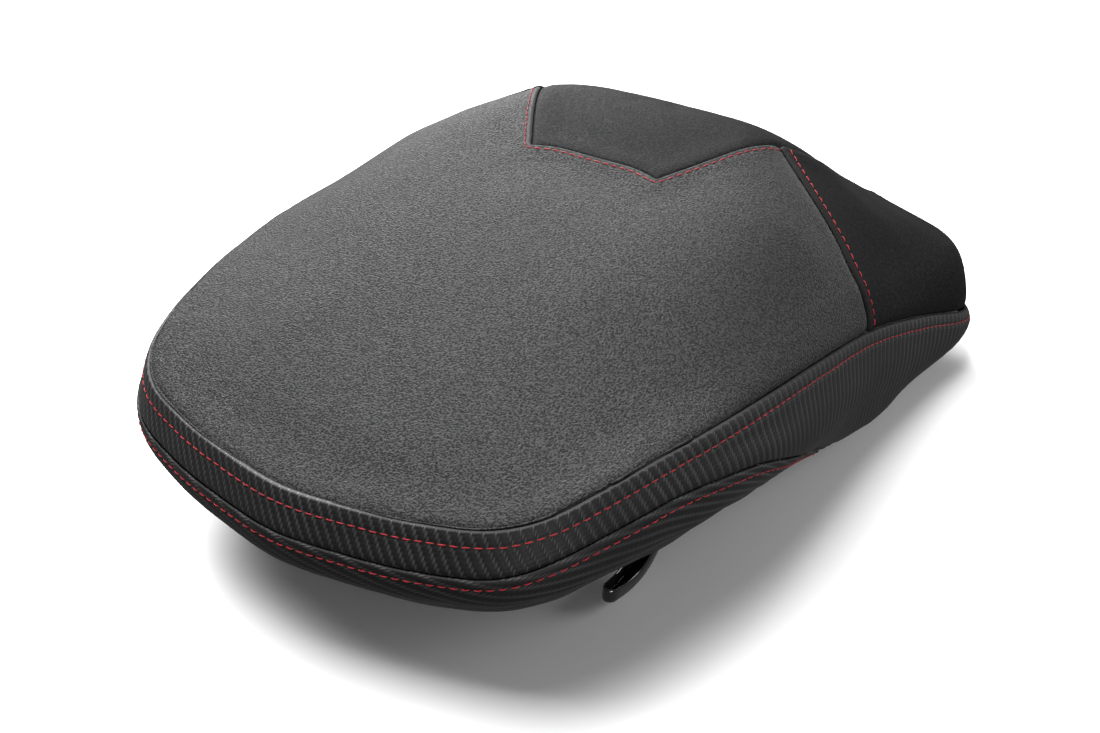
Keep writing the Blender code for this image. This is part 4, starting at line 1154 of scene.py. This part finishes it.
def make_hook(label, side):
    """The hook's arm: a channel with rounded rims that narrows to a cup at its tip."""
    path = hook_path()
    run = run_lengths(path)
    ahead = np.gradient(path, axis=0)
    ahead /= np.linalg.norm(ahead, axis=1)[:, None]
    up = np.stack([ahead[:, 1], -ahead[:, 0]], axis=1)
    length = run[-1]

    def width(s):
        return HOOK_WIDTH / 2 * (1.0 - HOOK_TAPER * (s / length) ** 1.5)

    def spot(s, t, h):
        y, z = (np.interp(s, run, path[:, k]) for k in (0, 1))
        uy, uz = (np.interp(s, run, up[:, k]) for k in (0, 1))
        return (side * HOOK_X + t, y + uy * h, z + uz * h)

    thick = HOOK_STRAP / 2
    rim = thick + HOOK_RAIL_RISE

    def rail(s, h):
        """The rim is low at the root and rises along the arm."""
        return h if h < thick else thick + (h - thick) * min(1.0, 0.35 + 2.2 * s / length)

    profile = ((0.0, -thick), (0.55, -thick), (0.84, -thick + 0.0002), (0.95, -thick + 0.0009),
               (1.0, -thick + 0.0022), (1.0, rim - 0.0012), (0.97, rim - 0.0004), (0.90, rim),
               (0.80, rim - 0.0001), (0.72, rim - 0.0008), (0.68, rim - 0.0024),
               (0.62, thick - 0.0006), (0.45, thick - 0.0014), (0.0, thick - 0.0016))
    straight = 26
    turn = 14
    tip = width(length)
    stations = [(length - tip) * k / straight for k in range(straight + 1)]
    places = []
    for share, h in profile:
        for s in stations:
            places.append(spot(s, -width(s) * share, rail(s, h)))
        for k in range(1, turn):
            angle = -math.pi / 2 + math.pi * k / turn
            places.append(spot(length - tip + tip * share * math.cos(angle),
                               tip * share * math.sin(angle), h))
        for s in reversed(stations):
            places.append(spot(s, width(s) * share, rail(s, h)))
    count = 2 * (straight + 1) + turn - 1
    bm = bmesh.new()
    verts = [bm.verts.new(p) for p in places]
    for r in range(len(profile) - 1):
        for a in range(r * count, r * count + count - 1):
            bm.faces.new([verts[i] for i in (a, a + 1, a + 1 + count, a + count)])
    bmesh.ops.remove_doubles(bm, verts=bm.verts, dist=1e-5)
    bmesh.ops.holes_fill(bm, edges=[e for e in bm.edges if e.is_boundary])
    add_base(bm, side)
    bmesh.ops.recalc_face_normals(bm, faces=bm.faces)
    mesh = bpy.data.meshes.new("hook_arm_" + label)
    bm.to_mesh(mesh)
    bm.free()
    mesh.shade_smooth()
    mesh.set_sharp_from_angle(angle=math.radians(50))
    mesh.materials.append(MATERIALS["hook_plastic"])
    obj = bpy.data.objects.new("hook_arm_" + label, mesh)
    bpy.context.scene.collection.objects.link(obj)
    placed(obj, "hook_plastic", "hook_" + label)


def add_base(bm, side):
    """The hook's rounded base block, flat against the pan's sloping underside."""
    top = plate_height(HOOK_BASE_Y) - PAN_THICKNESS - GAP
    made = bmesh.ops.create_cube(bm, size=1.0)["verts"]
    tilt = Matrix.Rotation(math.atan(PLATE_SLOPE), 4, "X")
    middle = Vector((side * HOOK_X, HOOK_BASE_Y, top - HOOK_BASE_THICKNESS / 2))
    size = Matrix.Diagonal((HOOK_BASE_WIDTH, HOOK_BASE_LENGTH, HOOK_BASE_THICKNESS, 1.0))
    bmesh.ops.transform(bm, verts=made, matrix=Matrix.Translation(middle) @ tilt @ size)
    edges = list({e for v in made for e in v.link_edges})
    bmesh.ops.bevel(bm, geom=edges, offset=0.0012, segments=3, affect="EDGES", profile=0.5)


# ---- floor, light and camera ----

def make_stage():
    size = 3.0
    floor = mesh_object("floor", [(-size, -size, 0.0), (size, -size, 0.0), (size, size, 0.0),
                                  (-size, size, 0.0)], [(0, 1, 2, 3)], Look("floor_paint").made)
    shader = MATERIALS["floor_paint"].node_tree.nodes["Principled BSDF"]
    shader.inputs["Base Color"].default_value = (0.90, 0.90, 0.90, 1.0)
    shader.inputs["Roughness"].default_value = 0.9
    shader.inputs["Specular IOR Level"].default_value = 0.1
    floor.visible_diffuse = False
    floor.visible_glossy = False


def add_light(name, place, target, size, power, size_y):
    data = bpy.data.lights.new(name, "AREA")
    data.energy = power
    data.shape = "RECTANGLE"
    data.size = size
    data.size_y = size_y
    light = bpy.data.objects.new(name, data)
    light.location = place
    light.rotation_euler = (Vector(target) - Vector(place)).to_track_quat("-Z", "Y").to_euler()
    bpy.context.scene.collection.objects.link(light)


def make_lights():
    world = bpy.data.worlds.new("studio")
    world.use_nodes = True
    background = world.node_tree.nodes["Background"]
    background.inputs["Color"].default_value = (1.0, 1.0, 1.0, 1.0)
    background.inputs["Strength"].default_value = WORLD_STRENGTH
    bpy.context.scene.world = world
    for row in LIGHTS:
        add_light(*row)
    bpy.context.scene.view_settings.view_transform = "Standard"


def make_camera():
    data = bpy.data.cameras.new("camera")
    data.lens = CAMERA_LENS
    data.sensor_width = 36.0
    camera = bpy.data.objects.new("camera", data)
    right, up, ahead = (Vector(v) for v in (CAMERA_RIGHT, CAMERA_UP, CAMERA_AHEAD))
    turn = Matrix((right, up, -ahead)).transposed().to_4x4()
    camera.matrix_world = Matrix.Translation(CAMERA_PLACE) @ turn
    bpy.context.scene.collection.objects.link(camera)
    bpy.context.scene.camera = camera


def main():
    make_materials()
    dress_cad_nodes()
    foam_cushion = make_foam()
    plans, panels = make_top()
    panels.update(make_wall())
    make_stitches(plans, panels)
    for label, side in (("left", -1), ("right", 1)):
        make_hook(label, side)
    make_stage()
    make_lights()
    make_camera()


main()
